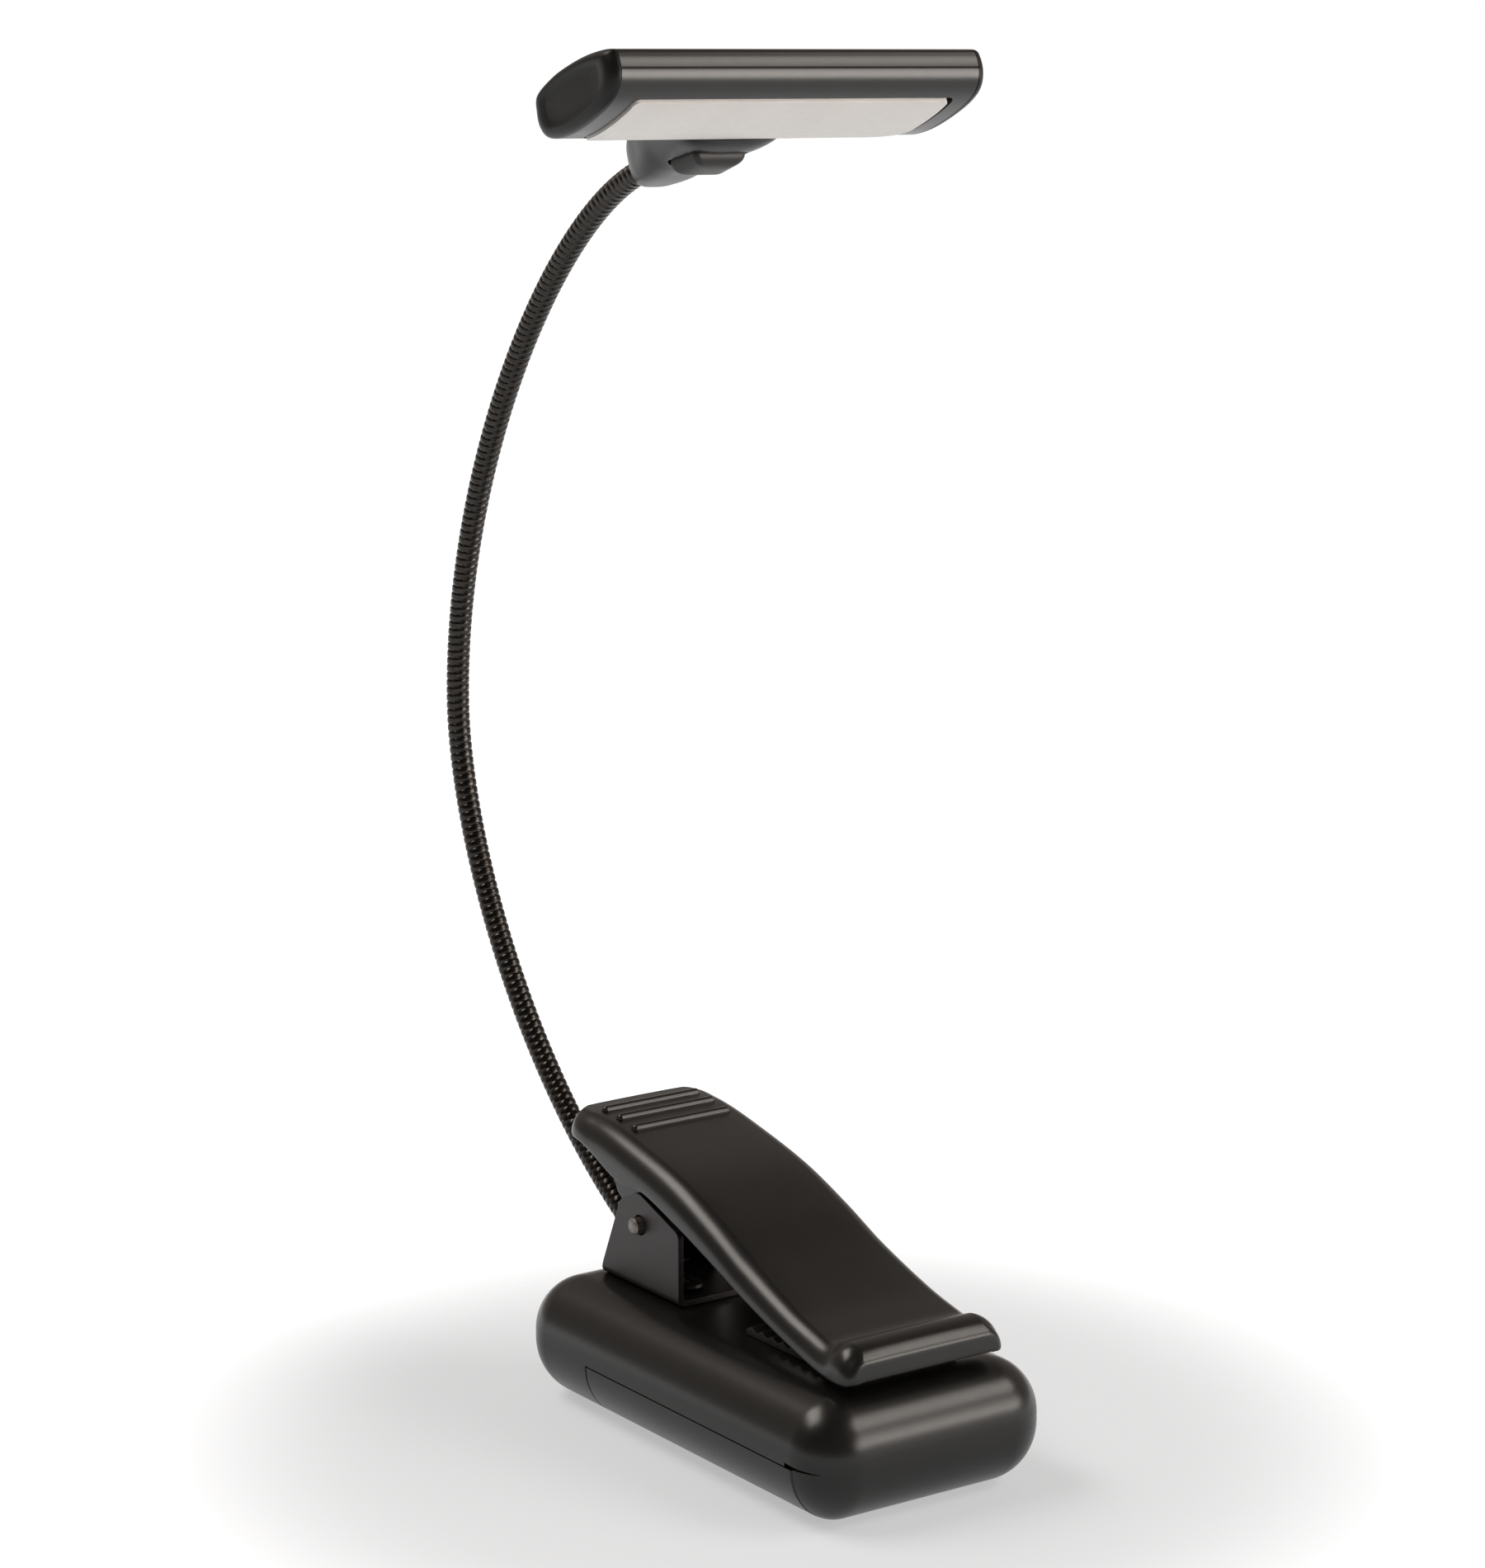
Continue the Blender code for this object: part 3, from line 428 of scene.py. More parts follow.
def curve_at(points, x):
    """Smooth curve through (x, value) points."""
    if x <= points[0][0]:
        return points[0][1]
    for i in range(len(points) - 1):
        if x <= points[i + 1][0]:
            break
    else:
        return points[-1][1]
    (x0, y0), (x1, y1) = points[i], points[i + 1]
    before, after = points[max(i - 1, 0)], points[min(i + 2, len(points) - 1)]
    slope0 = (y1 - before[1]) / (x1 - before[0])
    slope1 = (after[1] - y0) / (after[0] - x0)
    width = x1 - x0
    t = (x - x0) / width
    return ((2 * t**3 - 3 * t**2 + 1) * y0 + (t**3 - 2 * t**2 + t) * width * slope0
            + (3 * t**2 - 2 * t**3) * y1 + (t**3 - t**2) * width * slope1)


def closed_curve(points, steps):
    """Smooth closed curve through flat points."""
    count = len(points)
    loop = []
    for i in range(count):
        p0, p1, p2, p3 = (Vector(points[(i + k) % count]) for k in (-1, 0, 1, 2))
        for s in range(steps):
            t = s / steps
            loop.append(0.5 * (2 * p1 + (p2 - p0) * t + (2 * p0 - 5 * p1 + 4 * p2 - p3) * t**2
                               + (3 * p1 - p0 - 3 * p2 + p3) * t**3))
    return loop


def inset_loop(loop, distance):
    """A closed flat curve moved inwards."""
    count = len(loop)
    area = sum(loop[i].x * loop[(i + 1) % count].y - loop[(i + 1) % count].x * loop[i].y
               for i in range(count))
    inward = 1.0 if area > 0 else -1.0
    moved = []
    for i in range(count):
        along = (loop[(i + 1) % count] - loop[i - 1]).normalized()
        moved.append(loop[i] + Vector((-along.y, along.x)) * inward * distance)
    return moved


def arc(cx, cz, radius, start, end, steps):
    """Points of an arc, its ends in degrees."""
    turns = [math.radians(start + (end - start) * s / steps) for s in range(steps + 1)]
    return [(cx + radius * math.cos(t), cz + radius * math.sin(t)) for t in turns]


def rounded_rectangle(x0, x1, y0, y1, corner, steps=8):
    outline = []
    for cx, cy, start in ((x1 - corner, y1 - corner, 0), (x0 + corner, y1 - corner, 90),
                          (x0 + corner, y0 + corner, 180), (x1 - corner, y0 + corner, 270)):
        outline += arc(cx, cy, corner, start, start + 90, steps)
    return outline


# ---------------------------------------------------------------- base

def base_ring(z, wall=0.0, steps=14):
    """Outline of the base at height z, or of its inside when a wall is given."""
    low_r, top_r = BASE_LOW_R - wall, BASE_TOP_R - wall
    inset = 0.0
    if z < wall + low_r:
        rise = wall + low_r - z
        inset = low_r - math.sqrt(max(low_r**2 - rise**2, 0.0))
    elif z > BASE_H - wall - top_r:
        rise = z - (BASE_H - wall - top_r)
        inset = top_r - math.sqrt(max(top_r**2 - rise**2, 0.0))
    inset += wall
    radius = max(BASE_PLAN_R - inset, 0.4)
    half_x, half_y = BASE_L / 2 - inset - radius, BASE_W / 2 - inset - radius
    ring = []
    for quarter, (sx, sy) in enumerate(((1, 1), (-1, 1), (-1, -1), (1, -1))):
        for step in range(steps + 1):
            turn = math.pi / 2 * (quarter + step / steps)
            ring.append((sx * half_x + radius * math.cos(turn), sy * half_y + radius * math.sin(turn), z))
    return ring


def arc_heights(centre, radius, sign, steps):
    """Heights of the rings round a quarter circle, from its centre's level outwards."""
    return [centre + sign * radius * math.sin(math.pi / 2 * s / steps) for s in range(steps + 1)]


def upper_shell():
    top = BASE_H - BASE_TOP_R
    rim = PARTING_Z + PARTING_GAP
    inner = [base_ring(z, BASE_WALL) for z in arc_heights(top, BASE_TOP_R - BASE_WALL, 1, 8)[::-1]]
    inner.append(base_ring(rim, BASE_WALL))
    outer = [base_ring(rim), base_ring(rim + 0.1)]
    outer += [base_ring(z) for z in arc_heights(top, BASE_TOP_R, 1, 18)]
    shell = loft("base_upper", inner + outer)
    foot, way = neck_foot()
    cut(shell, rod("hole", foot + way * 6, foot - way * 14, 3.1, 32))
    cut(shell, finger_notch())
    place(shell, "base", ["base_upper_shell"], "black_plastic")


def finger_notch():
    """Tapering nail slot above the front end of the door, round the corner of the base."""
    rings = []
    centre_x, centre_y = BASE_L / 2 - BASE_PLAN_R, -(BASE_W / 2 - BASE_PLAN_R)
    low = PARTING_Z + 0.1
    for step in range(9):
        t = step / 8
        turn = math.radians(-96 + 46 * t)
        high = 0.75 * (1 - t) + 0.02
        bottom = -0.9 + 0.7 * t
        ring = []
        corners = ((1.0, low - 0.3), (bottom, low - 0.3), (bottom, low + high * 0.4), (1.0, low + high))
        for depth, z in corners:
            r = BASE_PLAN_R + depth
            ring.append((centre_x + r * math.cos(turn), centre_y + r * math.sin(turn), z))
        rings.append(ring)
    return loft("notch", rings)


def lower_shell():
    """The lower half with the cell tray, open below and on one long side for the door."""
    rim = PARTING_Z - PARTING_GAP
    outer = [base_ring(z) for z in arc_heights(BASE_LOW_R, BASE_LOW_R, -1, 18)[:0:-1]]
    inner = [base_ring(z, BASE_WALL) for z in arc_heights(BASE_LOW_R, BASE_LOW_R - BASE_WALL, -1, 8)]
    rims = [base_ring(rim - 0.1), base_ring(rim), base_ring(rim, BASE_WALL)]
    shell = loft("base_lower", outer + rims + inner)
    cut(shell, box("door", (DOOR_X0 - SEAM, -30, -1), (DOOR_X1 + FRONT_SEAM, DOOR_Y1 + SEAM, 12)))
    tray = box("tray", (DOOR_X0 - 1.5, -17.4, 1.3), (DOOR_X1 + 1.5, 17.9, 13.9))
    cut(tray, box("inner", (DOOR_X0 - SEAM, -16.4, -1), (DOOR_X1 + SEAM, DOOR_Y1 + 0.2, 13.0)))
    bite = BASE_WALL / 2                        # how far the tray's ends reach into the walls
    inside = [base_ring(z, bite) for z in arc_heights(BASE_LOW_R, BASE_LOW_R - bite, -1, 6)[::-1]
              + arc_heights(BASE_H - BASE_TOP_R, BASE_TOP_R - bite, 1, 6)]
    combine(tray, loft("inside", inside), "INTERSECT")
    cut(tray, box("relief", (DOOR_X0 - SEAM, -30, -1), (DOOR_X1 + SEAM, -10, 4.4)))
    join(shell, tray)
    place(shell, "base", ["base_lower_shell"], "black_plastic")


def door():
    """Battery cover: part of the base's side and floor, its front end chamfered."""
    rim = PARTING_Z - 0.2
    heights = arc_heights(BASE_LOW_R, BASE_LOW_R, -1, 18)[::-1]
    outer = [base_ring(z) for z in heights if z < rim - 0.2]
    heights = arc_heights(BASE_LOW_R, BASE_LOW_R - FLOOR_T, -1, 8)
    inner = [base_ring(z, FLOOR_T) for z in heights if z < rim - 0.2]
    cover = loft("battery_cover", outer + [base_ring(rim)] + [base_ring(rim, FLOOR_T)] + inner)
    combine(cover, box("span", (DOOR_X0, -30, -1), (DOOR_X1, DOOR_Y1, 12)), "INTERSECT")
    chamfer = ((-30, 0.4), (32.1, 0.4), (32.5, 0.02), (DOOR_X1 + 0.1, -0.5))
    combine(cover, loft("trim", [cross_section(x, grow) for x, grow in chamfer]), "INTERSECT")
    cut(cover, box("lip", (DOOR_X0 - 1, 0, FLOOR_T + 0.15), (DOOR_X1 + 1, 30, 12)))
    soften(cover, 0.14, 2, 50)
    place(cover, "door", ["battery_door"], "black_plastic")


def cross_section(x, grow, steps=24):
    """The base's outline seen along its length, grown by a little."""
    half = BASE_W / 2
    outline = []
    for radius, middle, start in ((BASE_TOP_R, BASE_H - BASE_TOP_R, 0), (BASE_LOW_R, BASE_LOW_R, 180)):
        side = 1 if start == 0 else -1
        outline += arc(side * (half - radius), middle, radius + grow, start, start + 90, steps)
        outline += arc(-side * (half - radius), middle, radius + grow, start + 90, start + 180, steps)
    return [(x, y, z) for y, z in outline]


def cells():
    """Three cells side by side, the middle one turned round, each pushed by its coil spring."""
    back, front = DOOR_X0 + 0.5, DOOR_X1 - 0.5
    for index in range(3):
        y = CELL_Y + (index - 1) * CELL_PITCH
        sign = -1 if index == 1 else 1
        plate = front if sign < 0 else back
        flat = plate + sign * (CONTACT_T + CELL_SPRING_L + 0.6)
        body = CELL_L - CELL_NUB_L
        profile = [(0, CELL_R - 0.7), (0.1, CELL_R - 0.3), (0.4, CELL_R), (1.0, CELL_R),
                   (1.2, CELL_R - 0.08), (1.4, CELL_R), (body - 1.4, CELL_R),
                   (body - 1.2, CELL_R - 0.1), (body - 0.4, CELL_R), (body - 0.1, CELL_R - 0.3),
                   (body, CELL_R - 0.9), (body, CELL_NUB_R + 0.1), (body + 0.2, CELL_NUB_R),
                   (CELL_L - 0.15, CELL_NUB_R), (CELL_L, CELL_NUB_R - 0.3)]
        cell = turned(f"cell_{index + 1}", (flat, y, CELL_Z), (flat + sign * CELL_L, y, CELL_Z), profile)
        place(cell, "base", [f"battery_{index + 1}"], "cell_wrap", degrees=30)
        coil, steps = [], 24
        count = CELL_SPRING_TURNS * steps
        for s in range(count + 1):
            turn = 2 * math.pi * s / steps
            reach = plate + sign * (CONTACT_T + 0.55 + (CELL_SPRING_L - 0.6) * s / count)
            radius = 3.4 - 1.2 * s / count
            coil.append((reach, y + radius * math.cos(turn), CELL_Z + radius * math.sin(turn)))
        spring = tube(f"cell_spring_{index + 1}", coil, 0.25, 8)
        place(spring, "base", [f"battery_spring_{index + 1}"], "bright_steel")


# ---------------------------------------------------------------- clip

def bracket():
    """Folded steel channel: two plates joined by a floor and by a sloping web behind the pin."""
    outer, floor, bend = BRACKET_HALF, BRACKET_FLOOR_Z - 0.25, 1.4
    inner_bend = bend - SHEET_T
    top = 36.0
    loop = arc(-outer + bend, floor + bend, bend, 180, 270, 10)
    loop += arc(outer - bend, floor + bend, bend, 270, 360, 10)
    loop += [(outer, top), (outer - SHEET_T, top)]
    loop += arc(outer - bend, floor + bend, inner_bend, 360, 270, 6)
    loop += arc(-outer + bend, floor + bend, inner_bend, 270, 180, 6)
    loop += [(-outer + SHEET_T, top), (-outer, top)]
    channel = loft("bracket", [[(x, y, z) for y, z in loop] for x in (-36.0, -8.0)])
    side = [(-10.6, floor - 1), (-10.6, 30.0)]
    side += arc(-12.0, 29.9, 1.4, 20, 68, 6)
    side += arc(-21.4, 31.6, 3.0, 70, 135, 10)
    side += arc(-24.4, 30.6, 2.6, 120, 155, 6)
    side += [(-31.2, 21.4), (-32.2, floor - 1)]
    combine(channel, prism_y("side", side, -13, 13), "INTERSECT")
    cut(channel, rod("hole", (PIN_X, -14, PIN_Z), (PIN_X, 14, PIN_Z), PIN_R + 0.25, 40))
    cut(channel, box("slot", (-35, -3.9, floor - 1), (-26.2, 3.9, floor + 3)))
    for x, y in SCREWS:
        cut(channel, rod("hole", (x, y, floor - 1), (x, y, floor + 3), 1.5, 24))
    sloped = [(-29.9, floor + 0.3), (-28.9, floor + 0.3), (-26.6, 29.6), (-27.6, 29.6)]
    web = prism_y("web", sloped, -8.0, 8.0)
    cut(web, rod("spring_room", (PIN_X, -14, PIN_Z), (PIN_X, 14, PIN_Z), 4.0, 40))
    join(channel, web)
    soften(channel, 0.16, 2, 50)
    place(channel, "base", ["pivot_bracket"], "black_steel")


def screws():
    top = BRACKET_FLOOR_Z + SHEET_T + 0.1
    for index, (x, y) in enumerate(SCREWS):
        profile = [(0, 0.9), (3.0, 0.9), (3.0, 2.2), (3.2, 2.3), (3.6, 2.15), (3.9, 1.6), (4.05, 0.8)]
        head = turned(f"clip_screw_{index + 1}", (x, y, top - 3), (x, y, top + 1), profile, 32)
        for a, b in ((1.3, 0.25), (0.25, 1.3)):
            cut(head, box("cross", (x - a, y - b, top + 0.4), (x + a, y + b, top + 3)))
        place(head, "base", [f"bracket_screw_{index + 1}"], "black_steel")


def lever_section(x, half, top, low, roof):
    """Closed section of the lever: skirt, fillet, nearly flat top, and the hollow underneath."""
    fillet = max(min(LEVER_FILLET, top - low - 0.5, half - 1), 0.5)
    shoulder = arc(-half + fillet, top - fillet, fillet, 180, 90 + CROWN_LEAN, 14)
    ring = [(-half + 0.45, low), (-half + 0.12, low + 0.12), (-half, low + 0.45)] + shoulder
    edge_y, edge_z = shoulder[-1]
    for s in range(1, 8):
        t = s / 8
        crown = 0.35 + 0.65 * (1 - abs(2 * t - 1)**2)
        ring.append((edge_y * (1 - 2 * t), edge_z + (top - edge_z) * crown))
    ring += [(-y, z) for y, z in reversed(shoulder)]
    ring += [(half, low + 0.45), (half - 0.12, low + 0.12), (half - 0.45, low)]
    wall = LEVER_WALL
    ring += [(half - wall + 0.1, low), (half - wall, low + 0.1)]
    inner = [(half - wall, max(roof - 2.5, low + 0.1)), (half - wall - 0.7, max(roof - 0.7, low + 0.1)),
             (half - wall - 2.5, max(roof, low + 0.1))]
    ring += inner + [(-y, z) for y, z in reversed(inner)]
    ring += [(-half + wall, low + 0.1), (-half + wall - 0.1, low)]
    return [(x, y, z) for y, z in ring]


def lever():
    """Thumb lever and upper jaw in one moulding, with its ribs and the ears that hold the pin."""
    stations = [-38.6, -38.2, -37.7, -37.0, -36.2]
    stations += [-35.4 + 0.9 * s for s in range(74)]
    stations += [31.0, 31.6, 32.2, 32.8, 33.4, 34.0, 34.5, 35.0, 35.4, 35.8, 36.1, 36.35]

    def section(x):
        half = curve_at(LEVER_HALF, x)
        top, low = curve_at(LEVER_TOP, x), curve_at(LEVER_EDGE, x)
        full = top - LEVER_WALL
        fade = min(max((x + 37.4) / 2.0, 0.0), 1.0) * min(max((30.4 - x) / 2.0, 0.0), 1.0)
        roof = low + (full - low) * fade * fade * (3 - 2 * fade)
        return lever_section(x, half, top, low, roof)

    def squeezed(x, middle, share, narrow):
        return [(x, y * narrow, middle + (z - middle) * share) for _, y, z in section(x)]

    rings = [squeezed(x, 42.0, share, narrow)
             for x, share, narrow in ((-39.0, 0.45, 0.9), (-38.92, 0.66, 0.95), (-38.8, 0.84, 0.98))]
    rings += [section(x) for x in stations]
    rings += [squeezed(x, 22.9, share, narrow)
              for x, share, narrow in ((36.5, 0.9, 0.985), (36.58, 0.74, 0.97), (36.6, 0.5, 0.94))]
    body = loft("lever", rings)
    turns = [2 * math.pi * i / 20 for i in range(20)]
    for x in RIB_X:
        z = curve_at(LEVER_TOP, x) + 0.02
        rings = []
        for s in [*range(-8, 0), *range(1, 9)]:
            bow = math.pi / 2 * s / 8
            y = math.copysign(RIB_HALF - RIB_R, s) + RIB_R * math.sin(bow)
            radius = RIB_R * max(math.cos(bow), 0.05)
            rings.append([(x + radius * math.cos(t), y, z + radius * math.sin(t)) for t in turns])
        join(body, loft("rib", rings))
    place(body, "lever", ["clip_lever"], "black_plastic", degrees=38)

    ears = []
    outline = [(-32.5, 42.0), (-31.2, 36.5), (-29.2, 32.7), (-26.2, 30.6)]
    outline += arc(PIN_X, PIN_Z, EAR_R, 185, 375, 28)
    outline += [(-13.5, 37.5), (-12.5, 38.2), (-22.0, 40.6)]
    for y0, y1 in ((-EAR_Y1, -EAR_Y0), (EAR_Y0, EAR_Y1)):
        ear = prism_y("ear", outline, y0, y1)
        cut(ear, rod("hole", (PIN_X, -11, PIN_Z), (PIN_X, 11, PIN_Z), PIN_R + 0.2, 40))
        ears.append(soften(ear, 0.25, 2))
    ears = merge("lever_ears", ears)
    dress(ears, "black_plastic")
    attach(ears, "lever")


def teeth(x0, x1, base, tip, count):
    """Saw-edged strip with rounded crests."""
    step = (x1 - x0) / count
    edge = []
    for index in range(count):
        start = x0 + index * step
        for t, share in ((0.0, 0.0), (0.2, 0.42), (0.4, 0.9), (0.5, 1.0), (0.6, 0.9), (0.8, 0.42)):
            edge.append((start + t * step, base + (tip - base) * share))
    return edge + [(x1, base)]


def pads():
    """Toothed rubber pads: one let into the base's top, one under the lip of the lever."""
    low = BASE_H
    outline = [(4.5, low)] + teeth(4.5, 31.0, low + 0.85, low + 1.5, 10) + [(31.0, low)]
    pad = prism_y("lower_pad", outline, -PAD_HALF, PAD_HALF)
    place(soften(pad, 0.2, 2, 60), "base", ["lower_jaw_pad"], "rubber", degrees=50)
    tip = low + 1.85
    roof = [(x, curve_at(LEVER_TOP, x) - LEVER_WALL + 0.1) for x in (29.6, 27, 24, 21)]
    outline = [(29.6, tip + 0.5)] + roof + teeth(21, 29.6, tip + 0.5, tip, 4)[:-1]
    pad = prism_y("upper_pad", outline, -PAD_HALF, PAD_HALF)
    place(soften(pad, 0.15, 2, 60), "lever", ["upper_jaw_pad"], "rubber", degrees=50)


def pin():
    length = 2 * PIN_HALF
    profile = [(0, 0.5), (0.02, 0.85), (0.12, 1.02), (0.35, PIN_R), (length - 0.35, PIN_R),
               (length - 0.12, 1.02), (length - 0.02, 0.85), (length, 0.5)]
    body = turned("pin", (PIN_X, -PIN_HALF, PIN_Z), (PIN_X, PIN_HALF, PIN_Z), profile, 40)
    place(body, "base", ["pivot_pin"], "pin_steel", degrees=30)


def spring():
    """Torsion spring: coil and lower leg stay with the base, the last turn and upper leg with the lever."""
    half, steps = SPRING_HALF, 24
    start, end = math.radians(138), math.radians(205)
    sweep = 2 * math.pi * SPRING_TURNS + end - start
    count = SPRING_TURNS * steps
    coil = []
    for s in range(count + 1):
        turn = start + sweep * s / count
        coil.append((PIN_X + SPRING_R * math.cos(turn), -half + 2 * half * s / count,
                     PIN_Z + SPRING_R * math.sin(turn)))
    first = (coil[0][0] - 9.0, -half - 0.2, coil[0][2] + 9.0)
    last = (coil[-1][0] - 0.6, half + 0.2, BRACKET_FLOOR_Z + SHEET_T + SPRING_WIRE_R)
    body = tube("spring_coil", coil[steps // 2:] + [last], SPRING_WIRE_R, 10)
    place(body, "base", ["clip_spring"], "neck_steel")
    leg = tube("spring_leg", [first] + coil[:steps], SPRING_WIRE_R, 10)
    dress(leg, "neck_steel")
    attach(leg, "lever")


# ---------------------------------------------------------------- neck

def polar(degrees):
    return Vector((math.cos(math.radians(degrees)), 0, math.sin(math.radians(degrees))))


def neck_foot():
    return Vector((NECK_FOOT[0], 0, NECK_FOOT[1])), polar(FOOT_ANGLE)


def neck_tip():
    return Vector((NECK_TIP[0], 0, NECK_TIP[1])), polar(TIP_ANGLE)


def bezier(a, b, c, d, t):
    return a * (1 - t)**3 + b * 3 * (1 - t)**2 * t + c * 3 * (1 - t) * t**2 + d * t**3


def neck_line():
    """The neck's centre line, from inside the base to inside the stem."""
    foot, foot_way = neck_foot()
    tip, tip_way = neck_tip()
    back, up = Vector((NECK_BACK[0], 0, NECK_BACK[1])), Vector((0, 0, 1))
    spans = ((foot, foot + foot_way * FOOT_HANDLE, back - up * BACK_LOW_HANDLE, back),
             (back, back + up * BACK_TOP_HANDLE, tip - tip_way * TIP_HANDLE, tip))
    line = [bezier(*span, t / 100) for span in spans for t in range(100)]
    return [foot - foot_way * FOOT_SOCKET] + line + [tip, tip + tip_way * TIP_SOCKET]


def neck():
    """Gooseneck wound from round wire: one helical skin, cut into lengths that straddle the joints."""
    line = neck_line()
    reach = [0.0]
    for a, b in zip(line, line[1:]):
        reach.append(reach[-1] + (b - a).length)
    free = reach[-1] - FOOT_SOCKET - TIP_SOCKET
    link = free / NECK_LINKS
    per_turn, sides = 10, 28

    def point(distance):
        distance = min(max(distance, 0.0), reach[-1] - 1e-6)
        high = bisect.bisect_right(reach, distance)
        low = high - 1
        t = (distance - reach[low]) / (reach[high] - reach[low])
        return line[low].lerp(line[high], t)

    def ring(distance):
        centre = point(distance)
        way = (point(distance + 0.6) - point(distance - 0.6)).normalized()
        across = Vector((0, 1, 0))
        out = way.cross(across)
        made = []
        for i in range(sides):
            turn = 2 * math.pi * i / sides
            phase = (distance / COIL_PITCH - i / sides) % 1.0
            crest = max(1 - abs(2 * phase - 1)**3.5, 0.0)**0.6
            radius = NECK_R - COIL_DEPTH + COIL_DEPTH * crest
            made.append(centre + (across * math.cos(turn) + out * math.sin(turn)) * radius)
        return made

    def length(name, start, end):
        first, last = round(start / COIL_PITCH * per_turn), round(end / COIL_PITCH * per_turn)
        return loft(name, [ring(s * COIL_PITCH / per_turn) for s in range(first, last + 1)])

    for k in range(NECK_LINKS):
        start = FOOT_SOCKET + (k - 0.5) * link if k else 0.0
        stop = FOOT_SOCKET + (k + 0.5) * link
        end = stop if k < NECK_LINKS - 1 else reach[-1]
        piece = length(f"neck_coil_{k + 1}", start, end)
        dress(piece, "neck_steel", 60, weigh=False)
        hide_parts(f"neck_link_{k + 1}")
        if k == 0:
            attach(piece, "base")
        else:
            point(start) * MM
            point(stop) * MM
            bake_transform(piece)


def grommet():
    """Rubber sleeve where the neck leaves the base."""
    foot, way = neck_foot()
    start = foot - way * 9
    profile = [(0, NECK_R - 0.1), (0, 2.9), (5.2, 2.95), (5.4, 3.5), (6.2, 3.6), (7.0, 3.3), (7.6, 2.7),
               (9.0, 2.35), (9.3, 2.1), (9.3, NECK_R - 0.1)]
    sleeve = turned("neck_grommet", start, foot, profile, 40, closed=True)
    place(sleeve, "base", ["neck_ferrule_base"], "rubber", degrees=45)


# ---------------------------------------------------------------- head

def head_outline(steps=10):
    return closed_curve(HEAD_SECTION, steps)


def half_outline(above, split, inset):
    """Points of the head's section on one side of a height, in order, moved inwards."""
    loop = inset_loop(head_outline(), inset) if inset else head_outline()
    count = len(loop)
    inside = [(p.y > split) == above for p in loop]
    start = next(i for i in range(count) if inside[i] and not inside[i - 1])
    run = []
    i = start
    while inside[i % count] and i < start + count:
        run.append(loop[i % count])
        i += 1

    def crossing(a, b):
        return a.lerp(b, (split - a.y) / (b.y - a.y))

    first = crossing(loop[start - 1], loop[start])
    last = crossing(loop[(i - 1) % count], loop[i % count])
    return [first] + run + [last]


def shell_half(name, above):
    """One moulding of the bar: skin along its whole length, with eased edges at the crease and ends."""
    split = CREASE_Z + (0.03 if above else -0.03)
    easing = 0.14 if above else -0.14
    half = HEAD_HALF - CAP_T

    def section(inset):
        outer = half_outline(above, split + easing, inset)
        lip = half_outline(above, split, inset + 0.1)
        inner = half_outline(above, split, HEAD_WALL)
        ring = [lip[0]] + outer + [lip[-1]] + inner[::-1]
        return [(p.x, p.y) for p in ring]

    full, eased = section(0.0), section(0.1)
    stations = ((-half, eased), (-half + 0.14, full), (half - 0.14, full), (half, eased))
    return loft(name, [[(x, y, z) for x, z in ring] for y, ring in stations], HEAD)


def window_outline(grow, far=0.0):
    """The window seen from below: small corners at the front, wide ones towards the neck."""
    x0, x1, half = LENS_X0 - grow, LENS_X1 + grow, LENS_HALF + grow
    front, rear = 0.8 + grow, 5.0 + grow
    outline = arc(x1 - front, half + far - front, front, 0, 90, 6)
    outline += arc(x0 + rear, half + far - rear, rear, 90, 180, 14)
    outline += arc(x0 + 2, -half + 2, 2, 180, 270, 8)
    return outline + arc(x1 - front, -half + front, front, 270, 360, 6)


def head_shells():
    top = shell_half("head_top", True)
    cut(top, rod("lead_hole", (-14, 0, 1.9), (-7, 0, 1.9), 1.2, 24, HEAD))
    place(top, "head", ["head_top_shell"], "black_plastic", degrees=30)
    low = shell_half("head_frame", False)
    cut(low, prism_z("window", window_outline(0.3, 0.5), -9, -1.5, HEAD))
    soften(low, 0.12, 2, 50)
    place(low, "head", ["head_bezel"], "black_plastic", degrees=30)


def caps():
    """Domed end caps with a soft rim."""
    outline = head_outline(8)
    for name, sign, node in (("end_cap_a", -1, "end_cap_left"), ("end_cap_b", 1, "end_cap_right")):
        rings = [[(p.x * 0.7, sign * (HEAD_HALF - CAP_T - 0.6), p.y * 0.7) for p in outline]]
        for step in range(13):
            turn = math.pi / 2 * step / 12
            depth = CAP_T * math.sin(turn)
            edge = 1 - math.cos(turn)
            ring = inset_loop(outline, 0.65 * edge) if edge > 0 else outline
            scale = 1 - 0.14 * edge
            rings.append([(p.x * scale, sign * (HEAD_HALF - CAP_T + depth), p.y * scale) for p in ring])
        base = rings[-1]
        for shrink, rise in ((0.93, -0.02), (0.85, -0.16), (0.8, -0.2), (0.5, -0.16), (0.2, -0.14)):
            rings.append([(x * shrink, sign * (HEAD_HALF + rise), z * shrink) for x, _, z in base])
        cap = loft(name, rings, HEAD)
        place(cap, "head", [node], "cap_plastic", degrees=50)


def underside(x, loop):
    """Height of the lowest point of a section at x."""
    heights = []
    for i, a in enumerate(loop):
        b = loop[(i + 1) % len(loop)]
        if (a.x - x) * (b.x - x) <= 0 and a.x != b.x:
            heights.append(a.y + (b.y - a.y) * (x - a.x) / (b.x - a.x))
    return min(heights)


